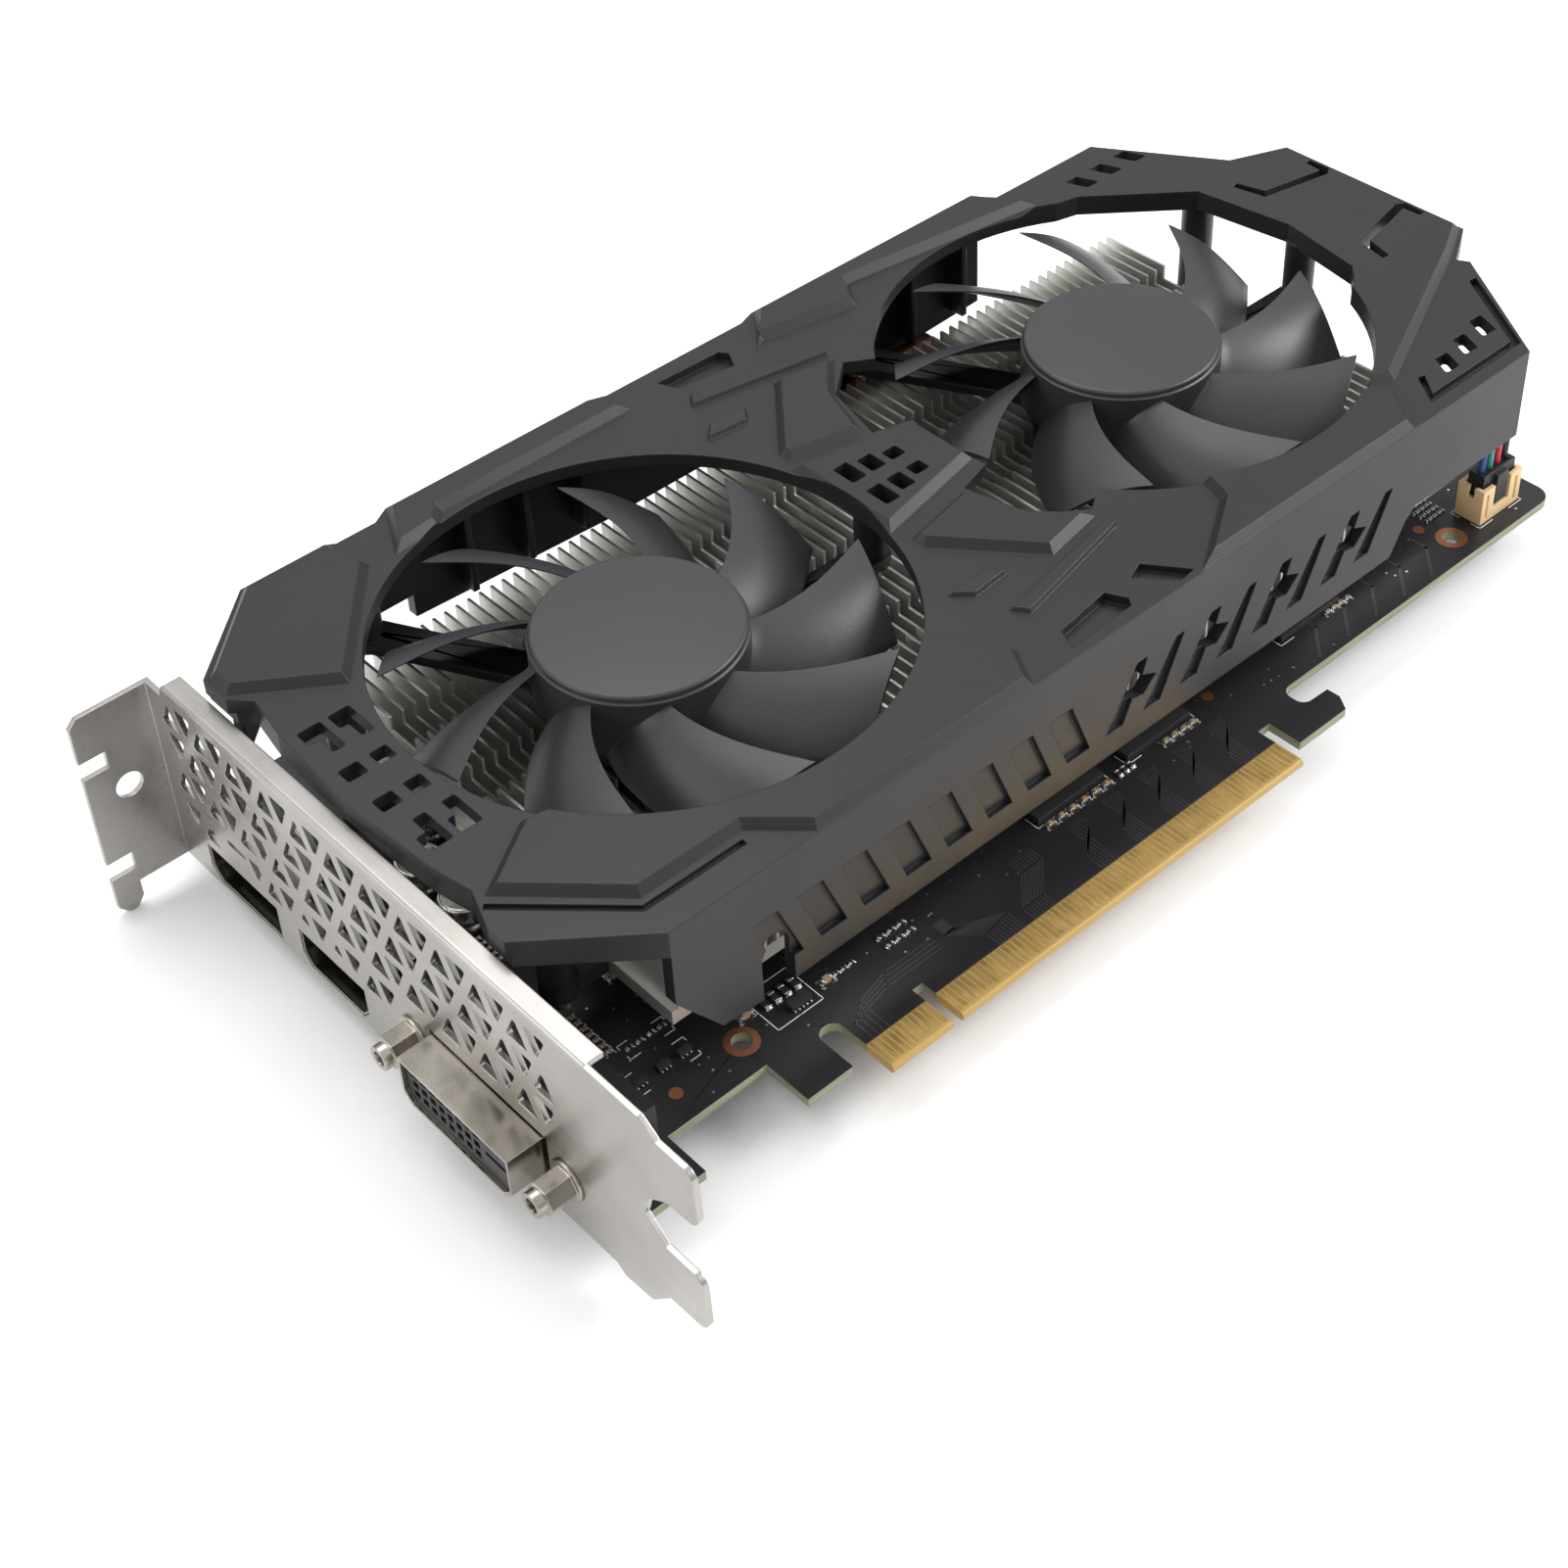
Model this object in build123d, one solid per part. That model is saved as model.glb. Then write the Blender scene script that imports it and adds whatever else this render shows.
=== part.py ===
from build123d import *
import math
import os

# Dual-fan graphics card, millimetres.
# Origin: centre of the key notch of the edge connector, on the tips of the contacts,
# in the middle of the board thickness.  +X towards the tail, +Y away from the edge
# connector, +Z through the board towards the fans.

# ---------------------------------------------------------------- driving sizes
BOARD_THICK = 1.57                     # PCI Express card thickness
BOARD_TOP = BOARD_THICK / 2
BOARD_BOTTOM = -BOARD_THICK / 2
BOARD_LEFT = -54.6
BOARD_RIGHT = 151.0
BOARD_NEAR = 12.1
BOARD_FAR = 108.8

CONTACT_PITCH = 1.0
CONTACT_WIDTH = 0.7
CONTACT_THICK = 0.04
CONTACTS_LEFT = 11
CONTACTS_RIGHT = 71

BRACKET_X = -56.66                     # outer face of the slot bracket
BRACKET_THICK = 0.86
BRACKET_FOLD_Z = 32.4
BRACKET_LOW_Z = -3.6
SLOT_PITCH = 20.32

AXIS_Y = 60.45                         # centre line of the cooler
FAN_X = (-2.9, 96.4)                   # the two fan axes
HUB_RADIUS = 15.85
HUB_TOP = 36.0
HUB_BOTTOM = 25.0
BLADE_COUNT = 9
BLADE_RADIUS = 36.8
BLADE_TOP = 34.4
BLADE_SWEEP = 24.5                     # degrees the root lags the tip
BLADE_CHORD_STEPS = 5
BLADE_LENGTH_STEPS = 5
OPENING_X = (-1.9, 96.6)               # centres of the two openings in the shroud face
OPENING_RADIUS = 39.3
ARM_ANGLES = (118, 238, 0)
ARM_Z = 21.6
ARM_THICK = 1.8
POST_RING = 44.5
POST_RADIUS = 2.6
SHAFT_RADIUS = 1.5
BEARING_CLEARANCE = 0.03

FIN_TOP = 20.0
FIN_BOTTOM = 9.0
FIN_PITCH = 2.18
FIN_THICK = 0.5
FIN_FIRST = -30.4
FIN_COUNT = 77
FIN_NEAR = 21.6
FIN_FAR = 98.6
FIN_NOTCH_PITCH = 16.4
FIN_NOTCH_LENGTH = 6.2
FIN_NOTCH_DEPTH = 2.6
BASE_BOTTOM = 6.5

PLATE_TOP = 35.5                       # general level of the shroud face
PLATE_THICK = 2.2
PLATE_LOW = PLATE_TOP - PLATE_THICK
RAISE = 1.4                            # height of the raised panels
RAISE_LEAN = 1.2                       # how far their sides lean in
WALL = 2.0
SKIRT_Y = 13.0
FAR_WALL_Y = 107.9
SKIRT_LOW = 12.0

WIRE_RADIUS = 0.6
WIRE_PLANE_Y = 18.0
WIRE_LEVELS = (21.4, 22.9, 24.4, 25.9)
WIRE_BEND = 4.0
PIN_X = (137.6, 139.6, 141.6, 143.6)

GPU_CENTRE = (46.7, AXIS_Y)

VENT_BASE = 5.4
VENT_HEIGHT = 5.6
VENT_PITCH = 8.0
VENT_INSET = 0.28                      # extra web left round each vent
VENT_CORNER = 0.4

LIP_EDGE = -53.4
DVI_Y = 29.4
DVI_Z = 4.9
DVI_SCREW_HALF = 16.5
HDMI_OPENING = [(58.0, -0.9), (59.8, -2.9), (72.4, -2.9), (74.2, -0.9), (74.2, 3.9), (58.0, 3.9)]
DP_OPENING = [(79.7, -2.9), (96.0, -2.9), (97.9, -0.9), (97.9, 3.7), (79.7, 3.7)]
SOCKET_FRONT = -56.5
SOCKET_BACK = -45.4
DVI_FRONT = -62.4

CHOKE_FIRST_Y = 36.0
CHOKE_PITCH = 12.0
CAN_PLACES = (                         # x, y, radius
    (-28.6, 47.4, 3.6), (-22.9, 35.6, 3.2), (-37.4, 71.8, 3.6), (-37.2, 61.6, 3.6),
    (-30.0, 80.0, 3.6), (130.8, 44.0, 3.2), (130.8, 56.0, 3.2), (130.8, 68.0, 3.2), (130.8, 80.0, 3.2),
)
CAN_HEIGHT = 5.2

EARS = ((-38.6, 37.4), (-38.6, 83.5), (141.0, 38.0), (141.0, 83.0))
EAR_RADIUS = 2.8
EAR_ARM_WIDTH = 4.0

PIPE_X = 62.4
PIPE_Z = 15.2
PIPE_RADIUS = 2.6
PIPE_FAR_Y = 101.7

WINDOW_SLANT = 4.0                     # lean of the windows in the near wall
WINDOW_CORNER = 0.4

os.makedirs("parts", exist_ok=True)


# ---------------------------------------------------------------- helpers
def box(x0, x1, y0, y1, z0, z1):
    """Axis-parallel block between two corners."""
    centre = Pos((x0 + x1) / 2, (y0 + y1) / 2, (z0 + z1) / 2)
    return centre * Box(x1 - x0, y1 - y0, z1 - z0)


def rod(x, y, z0, z1, radius):
    """Upright cylinder."""
    return Pos(x, y, (z0 + z1) / 2) * Cylinder(radius, z1 - z0)


def tube(x, y, z0, z1, outer, inner):
    """Upright tube."""
    return rod(x, y, z0, z1, outer) - rod(x, y, z0, z1, inner)


def ordered(points):
    """Same polygon with its corners listed counter-clockwise."""
    area = 0.0
    for (x0, y0), (x1, y1) in zip(points, points[1:] + points[:1]):
        area += x0 * y1 - x1 * y0
    return points if area > 0 else points[::-1]


def face_xy(points, z):
    """Flat polygon at height z."""
    return Pos(0, 0, z) * Polygon(*ordered(points), align=None)


def rounded_polygon(points, radius):
    """Flat polygon with every corner rounded."""
    face = Polygon(*ordered(points), align=None)
    return fillet(face.vertices(), radius)


def prism(points, z0, z1):
    """Upright prism on a polygon."""
    return extrude(face_xy(points, z0), amount=z1 - z0)


def rounded_prism(points, z0, z1, radius):
    """Upright prism on a polygon with rounded corners."""
    return extrude(Pos(0, 0, z0) * rounded_polygon(points, radius), amount=z1 - z0)


def inset(points, distance):
    """Polygon with each side moved inwards by distance and the corners kept sharp."""
    ring = ordered(points)
    result = []
    for k, (x, y) in enumerate(ring):
        before = ring[k - 1]
        after = ring[(k + 1) % len(ring)]
        in_length = math.hypot(x - before[0], y - before[1])
        out_length = math.hypot(after[0] - x, after[1] - y)
        in_normal = (-(y - before[1]) / in_length, (x - before[0]) / in_length)
        out_normal = (-(after[1] - y) / out_length, (after[0] - x) / out_length)
        spread = 1 + in_normal[0] * out_normal[0] + in_normal[1] * out_normal[1]
        shift_x = (in_normal[0] + out_normal[0]) * distance / spread
        shift_y = (in_normal[1] + out_normal[1]) * distance / spread
        result.append((x + shift_x, y + shift_y))
    return result


def bevelled(points, z0, z1, lean):
    """Raised panel whose sides lean in by lean millimetres towards the top."""
    low = [(x, y, z0) for x, y in ordered(points)]
    high = [(x, y, z1) for x, y in inset(points, lean)]
    faces = [Face(Wire.make_polygon(low)), Face(Wire.make_polygon(high))]
    for k in range(len(low)):
        after = (k + 1) % len(low)
        faces.append(Face(Wire.make_polygon([low[k], low[after], high[after], high[k]])))
    return Solid(Shell(faces))


def slab_xz(points, y0, y1):
    """Prism along Y on a polygon given as (x, z)."""
    face = Plane.XZ.offset(-y0) * Polygon(*ordered(points), align=None)
    return extrude(face, amount=-(y1 - y0))


def slab_yz(points, x0, x1):
    """Prism along X on a polygon given as (y, z)."""
    face = Plane.YZ.offset(x0) * Polygon(*ordered(points), align=None)
    return extrude(face, amount=x1 - x0)


def mirrored(points):
    """Polygon reflected in the centre line of the cooler."""
    return [(x, 2 * AXIS_Y - y) for x, y in points]


def polar(centre_x, radius, degrees):
    """Point on a circle about a fan axis."""
    angle = math.radians(degrees)
    return (centre_x + radius * math.cos(angle), AXIS_Y + radius * math.sin(angle))


def save(name, shape):
    """Write one node and print its size."""
    solids = shape.solids()
    shape = solids[0] if len(solids) == 1 else Compound(children=list(solids))
    shape.label = name
    export_step(shape, f"parts/{name}.step")
    print(f"{name}: {len(solids)} solid(s), volume {sum(s.volume for s in solids):.1f}")


# ---------------------------------------------------------------- circuit board
def make_board():
    outline = [
        (BOARD_LEFT, BOARD_FAR),
        (BOARD_LEFT, 4.4),
        (-41.3, 4.4),
        (-41.3, BOARD_NEAR),
        (-24.0, BOARD_NEAR),
        (-24.0, 3.9),
        (-15.9, 3.9),
        (-15.9, 11.6),
        (-12.15, 11.6),
        (-12.15, 0.0),
        (-0.95, 0.0),
        (-0.95, 8.0),
        (0.95, 8.0),
        (0.95, 0.0),
        (72.15, 0.0),
        (72.15, 8.7),
        (74.7, 8.7),
        (74.7, 2.8),
        (85.4, 2.8),
        (87.0, 5.2),
        (86.9, 7.6),
        (81.6, 7.8),
        (81.6, BOARD_NEAR),
        (BOARD_RIGHT, BOARD_NEAR),
        (BOARD_RIGHT, BOARD_FAR),
    ]
    board = prism(outline, BOARD_BOTTOM, BOARD_TOP)
    upright = board.edges().filter_by(Axis.Z)
    board = fillet(upright.filter_by(lambda e: e.center().X > 150), 3.0)
    inner = board.edges().filter_by(Axis.Z).filter_by(
        lambda e: (abs(e.center().X - 81.6) < 0.1) or (-16 < e.center().X < -12 and e.center().Y > 11)
    )
    board = fillet(inner, 1.7)
    finger_tips = board.edges().filter_by(Axis.X).filter_by(lambda e: abs(e.center().Y) < 0.01)
    board = chamfer(finger_tips, 0.45)
    for x, y in ((-23.8, 17.4), (129.9, 16.9)):
        board -= rod(x, y, -2, 2, 1.5)
    for x, y in cooler_screw_places():
        board -= rod(x, y, -2, 2, 1.4)
    board -= box(BOARD_LEFT - 1, -45.0, 57.6, 74.4, -2, 2)
    board -= box(BOARD_LEFT - 1, -45.0, 79.3, 98.2, -2, 2)
    return board


def cooler_screw_places():
    """Centres of the four screws round the processor."""
    x, y = GPU_CENTRE
    return [(x + dx, y + dy) for dx in (-21.5, 21.5) for dy in (-21.5, 21.5)]


def make_contacts():
    """Gold pads on both faces of the edge connector."""
    pads = []
    left = [-1.5 - i * CONTACT_PITCH for i in range(CONTACTS_LEFT)]
    right = [1.5 + i * CONTACT_PITCH for i in range(CONTACTS_RIGHT)]
    half = CONTACT_WIDTH / 2
    for x in left + right:
        pads.append(box(x - half, x + half, 0.9, 5.2, BOARD_TOP, BOARD_TOP + CONTACT_THICK))
        pads.append(box(x - half, x + half, 0.9, 5.2, BOARD_BOTTOM - CONTACT_THICK, BOARD_BOTTOM))
    return Compound(children=pads)


def make_copper_rings():
    """Plated rings of the two holes and three small plated spots."""
    parts = []
    for x, y in ((-23.8, 17.4), (129.9, 16.9)):
        parts.append(tube(x, y, BOARD_TOP, BOARD_TOP + CONTACT_THICK, 2.6, 1.5))
    for x, y in ((-35.9, 16.8), (72.7, 19.3), (127.8, 21.9)):
        parts.append(rod(x, y, BOARD_TOP, BOARD_TOP + CONTACT_THICK, 1.0))
    return Compound(children=parts)


# ---------------------------------------------------------------- slot bracket


def vent(y, z0, up, height=VENT_HEIGHT):
    """Triangular vent as a polygon of (y, z)."""
    half = VENT_BASE / 2 * height / VENT_HEIGHT
    if up:
        return [(y - half, z0), (y + half, z0), (y, z0 + height)]
    return [(y - half, z0 + height), (y + half, z0 + height), (y, z0)]


def bracket_vents():
    """All triangles: three full rows and one short row over the sockets."""
    shapes = []
    for row_z, first_down, first_up in ((24.6, 16.2, 20.2), (18.2, 19.6, 15.6), (11.7, 16.2, 20.2)):
        for k in range(11):
            shapes.append(vent(first_down + k * VENT_PITCH, row_z, False))
            shapes.append(vent(first_up + k * VENT_PITCH, row_z, True))
    for y in (51.5, 59.5, 67.5, 75.5, 83.5, 99.5):
        shapes.append(vent(y, 5.2, False, 5.0))
    short_row = ((55.2, 5.2, 5.0), (63.4, 6.6, 3.2), (71.4, 6.6, 3.2), (79.4, 5.2, 5.0), (95.4, 5.2, 5.0))
    for y, low, height in short_row:
        shapes.append(vent(y, low, True, height))
    shapes.append([(85.8, 8.2), (91.9, 8.2), (90.5, 9.9), (85.8, 9.9)])
    return shapes


def make_bracket():
    z_fold = BRACKET_FOLD_Z
    tip = 106.34 - 120.02
    face = [
        (106.34, BRACKET_LOW_Z),
        (106.34, 30.2),
        (101.6, 30.2),
        (100.6, z_fold),
        (6.2, z_fold),
        (-4.0, z_fold - 0.1),
        (-7.0, 30.2),
        (tip, 30.2),
        (tip - 0.4, 20.4),
        (-8.0, 20.0),
        (-4.4, 17.4),
        (-3.2, 13.4),
        (-6.8, 10.2),
        (tip, 10.2),
        (tip - 0.4, 0.2),
        (-6.7, -0.1),
        (-2.8, -4.4),
        (2.5, -4.8),
        (4.2, BRACKET_LOW_Z),
    ]
    x0 = BRACKET_X
    x1 = BRACKET_X + BRACKET_THICK
    plate = slab_yz(face, x0, x1)
    corner_edges = plate.edges().filter_by(Axis.X).filter_by(lambda e: e.center().Y < tip + 1)
    plate = fillet(corner_edges, 2.0)
    for shape in bracket_vents():
        opening = Plane.YZ.offset(x0 - 1) * rounded_polygon(inset(shape, VENT_INSET), VENT_CORNER)
        plate -= extrude(opening, amount=BRACKET_THICK + 2)
    # socket openings
    plate -= slab_yz(HDMI_OPENING, x0 - 1, x1 + 1)
    plate -= slab_yz(DP_OPENING, x0 - 1, x1 + 1)
    plate -= box(x0 - 1, x1 + 1, DVI_Y - 12.6, DVI_Y + 12.6, DVI_Z - 4.6, DVI_Z + 4.6)
    for side in (-1, 1):
        plate -= Pos(x0, DVI_Y + side * DVI_SCREW_HALF, DVI_Z) * Rot(0, 90, 0) * Cylinder(1.6, 4)
    # stiffening lip folded over the card, with a rounded bend
    lip = box(x0, LIP_EDGE, 6.2, 100.6, z_fold - BRACKET_THICK, z_fold)
    long_edges = lip.edges().filter_by(Axis.Y)
    bend = long_edges.filter_by(lambda e: e.center().X < x0 + 0.1 and e.center().Z > z_fold - 0.1)
    lip = fillet(bend, 0.8)
    sharp = box(x0 - 0.1, x0 + 0.8, 6.2, 100.6, z_fold - 0.8, z_fold + 0.1)
    sharp -= Pos(x0 + 0.8, 53.4, z_fold - 0.8) * Rot(90, 0, 0) * Cylinder(0.8, 94.4)
    plate = plate - sharp + lip
    # mounting flange turned away from the card
    flange = [
        (x0 + BRACKET_THICK, 30.2),
        (-67.8, 30.2),
        (-69.2, 28.8),
        (-69.2, 22.3),
        (-65.0, 22.3),
        (-65.0, 19.1),
        (-69.2, 19.1),
        (-69.2, 2.3),
        (-65.0, 2.3),
        (-65.0, -1.1),
        (-69.2, -1.1),
        (-69.2, -6.6),
        (-67.8, -8.2),
        (-66.2, -8.2),
        (-65.0, -6.6),
        (-65.0, BRACKET_LOW_Z),
        (x0 + BRACKET_THICK, BRACKET_LOW_Z),
    ]
    ear = slab_xz(flange, 105.5, 106.34)
    ear -= Pos(-62.7, 106, 14.3) * Rot(90, 0, 0) * Cylinder(2.2, 4)
    return plate + ear


def socket_shell(opening, depth_x, wall=0.35, gap=0.12):
    """Sheet-metal shell of a socket that follows its opening."""
    outer = Polygon(*ordered(opening), align=None)
    outer = offset(outer, amount=-gap, kind=Kind.INTERSECTION)
    inner = offset(outer, amount=-wall, kind=Kind.INTERSECTION)
    length = depth_x - SOCKET_FRONT
    plane = Plane.YZ.offset(SOCKET_FRONT)
    body = extrude(plane * outer, amount=length)
    hollow = extrude(plane * inner, amount=length - 0.4)
    return body - hollow


def make_hdmi_shell():
    return socket_shell(HDMI_OPENING, SOCKET_BACK)


def make_hdmi_tongue():
    """Moulded back wall and contact tongue."""
    back = box(SOCKET_BACK - 2.8, SOCKET_BACK - 0.5, 60.2, 72.0, -2.0, 3.2)
    tongue = box(-54.6, SOCKET_BACK - 2.8, 60.6, 71.6, 0.1, 1.3)
    return back + tongue


def make_dp_shell():
    return socket_shell(DP_OPENING, SOCKET_BACK)


def make_dp_tongue():
    back = box(SOCKET_BACK - 2.8, SOCKET_BACK - 0.5, 80.4, 95.4, -2.2, 3.0)
    tongue = box(-54.6, SOCKET_BACK - 2.8, 81.4, 94.6, -0.4, 0.8)
    return back + tongue


def dvi_outline(half_width, half_height, cut):
    """D-shaped section as (y, z): two lower corners cut."""
    y = DVI_Y
    z = DVI_Z
    return [
        (y - half_width, z + half_height),
        (y + half_width, z + half_height),
        (y + half_width, z - half_height + cut),
        (y + half_width - cut, z - half_height),
        (y - half_width + cut, z - half_height),
        (y - half_width, z - half_height + cut),
    ]


def make_dvi_shell():
    """Projecting metal shell with its flange behind the bracket."""
    inside = BRACKET_X + BRACKET_THICK
    shell = slab_yz(dvi_outline(11.9, 4.1, 1.6), DVI_FRONT, inside + 0.9)
    shell -= slab_yz(dvi_outline(11.4, 3.6, 1.5), DVI_FRONT - 1, inside + 2)
    flange = box(inside, inside + 0.9, DVI_Y - 20.2, DVI_Y + 20.2, BOARD_TOP, DVI_Z + 5.4)
    flange -= slab_yz(dvi_outline(11.4, 3.6, 1.5), inside - 1, inside + 2)
    for side in (-1, 1):
        flange -= Pos(inside, DVI_Y + side * DVI_SCREW_HALF, DVI_Z) * Rot(0, 90, 0) * Cylinder(1.5, 6)
    return shell + flange


def make_dvi_insert():
    """Black insert with a 3 x 8 field of contacts and one flat blade slot."""
    inside = BRACKET_X + BRACKET_THICK
    body = slab_yz(dvi_outline(11.35, 3.55, 1.5), DVI_FRONT + 0.7, inside + 0.9)
    body += box(inside + 0.9, -43.5, DVI_Y - 18.5, DVI_Y + 18.5, BOARD_TOP, DVI_Z + 5.2)
    for side in (-1, 1):
        body -= Pos(inside, DVI_Y + side * DVI_SCREW_HALF, DVI_Z) * Rot(0, 90, 0) * Cylinder(1.5, 12)
    for row in range(3):
        for column in range(8):
            y = DVI_Y - 3.9 + column * 1.9
            z = DVI_Z - 1.9 + row * 1.9
            body -= box(DVI_FRONT, DVI_FRONT + 3.2, y - 0.6, y + 0.6, z - 0.6, z + 0.6)
    body -= box(DVI_FRONT, DVI_FRONT + 3.2, DVI_Y - 10.6, DVI_Y - 5.8, DVI_Z - 0.35, DVI_Z + 0.35)
    return body


def make_dvi_jack_screws():
    """Two hexagonal jack screws that clamp the bracket to the socket."""
    screws = []
    for side in (-1, 1):
        place = Plane.YZ.offset(BRACKET_X) * Pos(DVI_Y + side * DVI_SCREW_HALF, DVI_Z)
        hexagon = RegularPolygon(2.6, 6)
        head = extrude(place * hexagon, amount=-4.6)
        washer = extrude(place * Circle(3.2), amount=-0.5)
        threaded_nose = extrude(place * Circle(1.9), amount=-6.0)
        shank = extrude(place * Circle(1.5), amount=5.0)
        bore = extrude((place * Pos(0, 0, -6.0)) * Circle(1.1), amount=4.0)
        screws.append(head + washer + threaded_nose + shank - bore)
    return Compound(children=screws)


# ---------------------------------------------------------------- parts on the board
def make_gpu_package():
    x, y = GPU_CENTRE
    return box(x - 16, x + 16, y - 16, y + 16, BOARD_TOP, BOARD_TOP + 1.2)


def make_gpu_die():
    x, y = GPU_CENTRE
    return box(x - 8, x + 8, y - 7.5, y + 7.5, BOARD_TOP + 1.2, BOARD_TOP + 2.0)


def make_memory_chips():
    """Eight memory packages round the processor and along the near edge."""
    places = (
        (41.2, 24.0), (60.3, 24.0), (97.2, 25.4), (78.5, 52.0),
        (78.5, 69.0), (41.2, 96.5), (60.3, 96.5), (15.0, 60.5),
    )
    chips = []
    for x, y in places:
        wide, deep = (7.0, 6.0) if y < 40 or y > 90 else (6.0, 7.0)
        chips.append(box(x - wide, x + wide, y - deep, y + deep, BOARD_TOP, BOARD_TOP + 1.1))
    return Compound(children=chips)


def make_chokes():
    """Power chokes between the processor and the tail."""
    blocks = []
    for k in range(5):
        y = CHOKE_FIRST_Y + k * CHOKE_PITCH
        block = box(112.5, 119.5, y - 3.5, y + 3.5, BOARD_TOP, BOARD_TOP + 4.6)
        block = chamfer(block.edges().filter_by(Axis.Z), 0.8)
        blocks.append(block)
    blocks.append(box(-33.0, -27.0, 88.0, 94.0, BOARD_TOP, BOARD_TOP + 4.6))
    return Compound(children=blocks)


def make_mosfets():
    parts = []
    for k in range(5):
        y = CHOKE_FIRST_Y + k * CHOKE_PITCH
        for dx in (104.5, 124.5):
            parts.append(box(dx - 2.6, dx + 2.6, y - 3.0, y + 3.0, BOARD_TOP, BOARD_TOP + 0.9))
    return Compound(children=parts)


def make_capacitor_bases():
    """Square moulded feet of the can capacitors."""
    feet = []
    for x, y, r in CAN_PLACES:
        foot = box(x - r, x + r, y - r, y + r, BOARD_TOP, BOARD_TOP + 0.6)
        feet.append(chamfer(foot.edges().filter_by(Axis.Z), r * 0.35))
    return Compound(children=feet)


def make_capacitor_cans():
    cans = []
    for x, y, r in CAN_PLACES:
        can = rod(x, y, BOARD_TOP + 0.6, BOARD_TOP + CAN_HEIGHT, r - 0.1)
        top = can.edges().sort_by(Axis.Z)[-1]
        cans.append(fillet(top, 0.5))
    return Compound(children=cans)


def chip(x, y, length_x, length_y, height):
    """Small surface-mounted part."""
    half_x = length_x / 2
    half_y = length_y / 2
    return box(x - half_x, x + half_x, y - half_y, y + half_y, BOARD_TOP, BOARD_TOP + height)


def make_chip_capacitors():
    """Tan ceramic capacitors."""
    parts = [chip(-20.6, 20.4, 2.2, 1.2, 0.8), chip(-8.3, 17.4, 2.0, 1.1, 0.8)]
    for k in range(5):
        parts.append(chip(-28.9, 38.4 + k * 1.1, 1.9, 0.8, 0.7))
    for k in range(7):
        parts.append(chip(-37.9, 28.4 + k * 1.35, 1.0, 0.7, 0.5))
    for k in range(5):
        parts.append(chip(-38.4, 52.0 + k * 1.3, 1.0, 0.7, 0.5))
    for k in range(6):
        parts.append(chip(35.6 + k * 2.4, 16.9, 1.5, 0.9, 0.6))
    for k in range(4):
        parts.append(chip(60.6 + k * 2.0, 16.9, 1.4, 0.9, 0.6))
    for k in range(4):
        parts.append(chip(101.0 + k * 1.6, 19.0, 1.1, 0.8, 0.5))
    return Compound(children=parts)


def make_chip_resistors():
    """Black and silver resistors."""
    parts = [chip(-17.3 + k * 1.8, 20.2, 1.1, 2.2, 0.5) for k in range(4)]
    for column in range(3):
        for row in range(2):
            parts.append(chip(2.6 + column * 1.9, 16.1 + row * 1.9, 1.3, 0.8, 0.5))
    for column in range(4):
        for row in range(4):
            parts.append(chip(130.6 + column * 1.2, 22.2 + row * 1.3, 0.9, 0.6, 0.4))
    for x in (-35.4, -33.6, -31.6, -29.8):
        parts.append(chip(x, 27.0, 1.0, 0.7, 0.4))
    for k in range(3):
        parts.append(chip(-6.4 + k * 1.4, 17.4, 0.9, 0.7, 0.4))
    for k in range(3):
        parts.append(chip(50.4 + k * 1.3, 17.2, 0.9, 1.4, 0.4))
    return Compound(children=parts)


def make_small_chips():
    """Transistors, regulators and the firmware memory."""
    parts = [chip(-13.7, 17.1, 3.6, 2.2, 1.0)]
    for x in (-38.3, -34.2, -30.6):
        parts.append(chip(x, 21.4, 2.2, 1.6, 0.9))
    parts.append(chip(20.0, 26.5, 5.0, 4.0, 1.4))
    parts.append(chip(-10.0, 30.0, 6.0, 6.0, 0.9))
    parts.append(chip(118.0, 27.0, 4.0, 4.0, 0.9))
    return Compound(children=parts)


# ---------------------------------------------------------------- fan header, plug, leads
def make_fan_header():
    body = box(135.5, 145.8, 15.5, 20.6, BOARD_TOP, 7.5)
    body -= box(136.3, 145.0, 16.3, 19.8, 2.0, 8.0)
    body -= box(138.6, 142.7, 15.0, 16.4, 3.0, 8.0)
    for x in (136.9, 144.4):
        body -= box(x - 0.3, x + 0.3, 15.0, 15.9, 1.6, 6.4)
    body -= box(135.0, 136.4, 17.4, 18.6, 5.4, 8.0)
    for x in PIN_X:
        body -= box(x - 0.25, x + 0.25, WIRE_PLANE_Y - 0.25, WIRE_PLANE_Y + 0.25, 0, 3)
    return body


def make_header_pins():
    pins = []
    for x in PIN_X:
        pins.append(box(x - 0.25, x + 0.25, WIRE_PLANE_Y - 0.25, WIRE_PLANE_Y + 0.25, BOARD_TOP, 6.0))
    return Compound(children=pins)


def make_fan_plug():
    body = box(136.5, 144.8, 16.5, 19.6, 2.6, 9.6)
    body += box(139.2, 142.1, 15.7, 16.5, 3.2, 9.0)
    for x in PIN_X:
        body -= rod(x, WIRE_PLANE_Y, 2.0, 10.0, WIRE_RADIUS)
    return body


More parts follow.
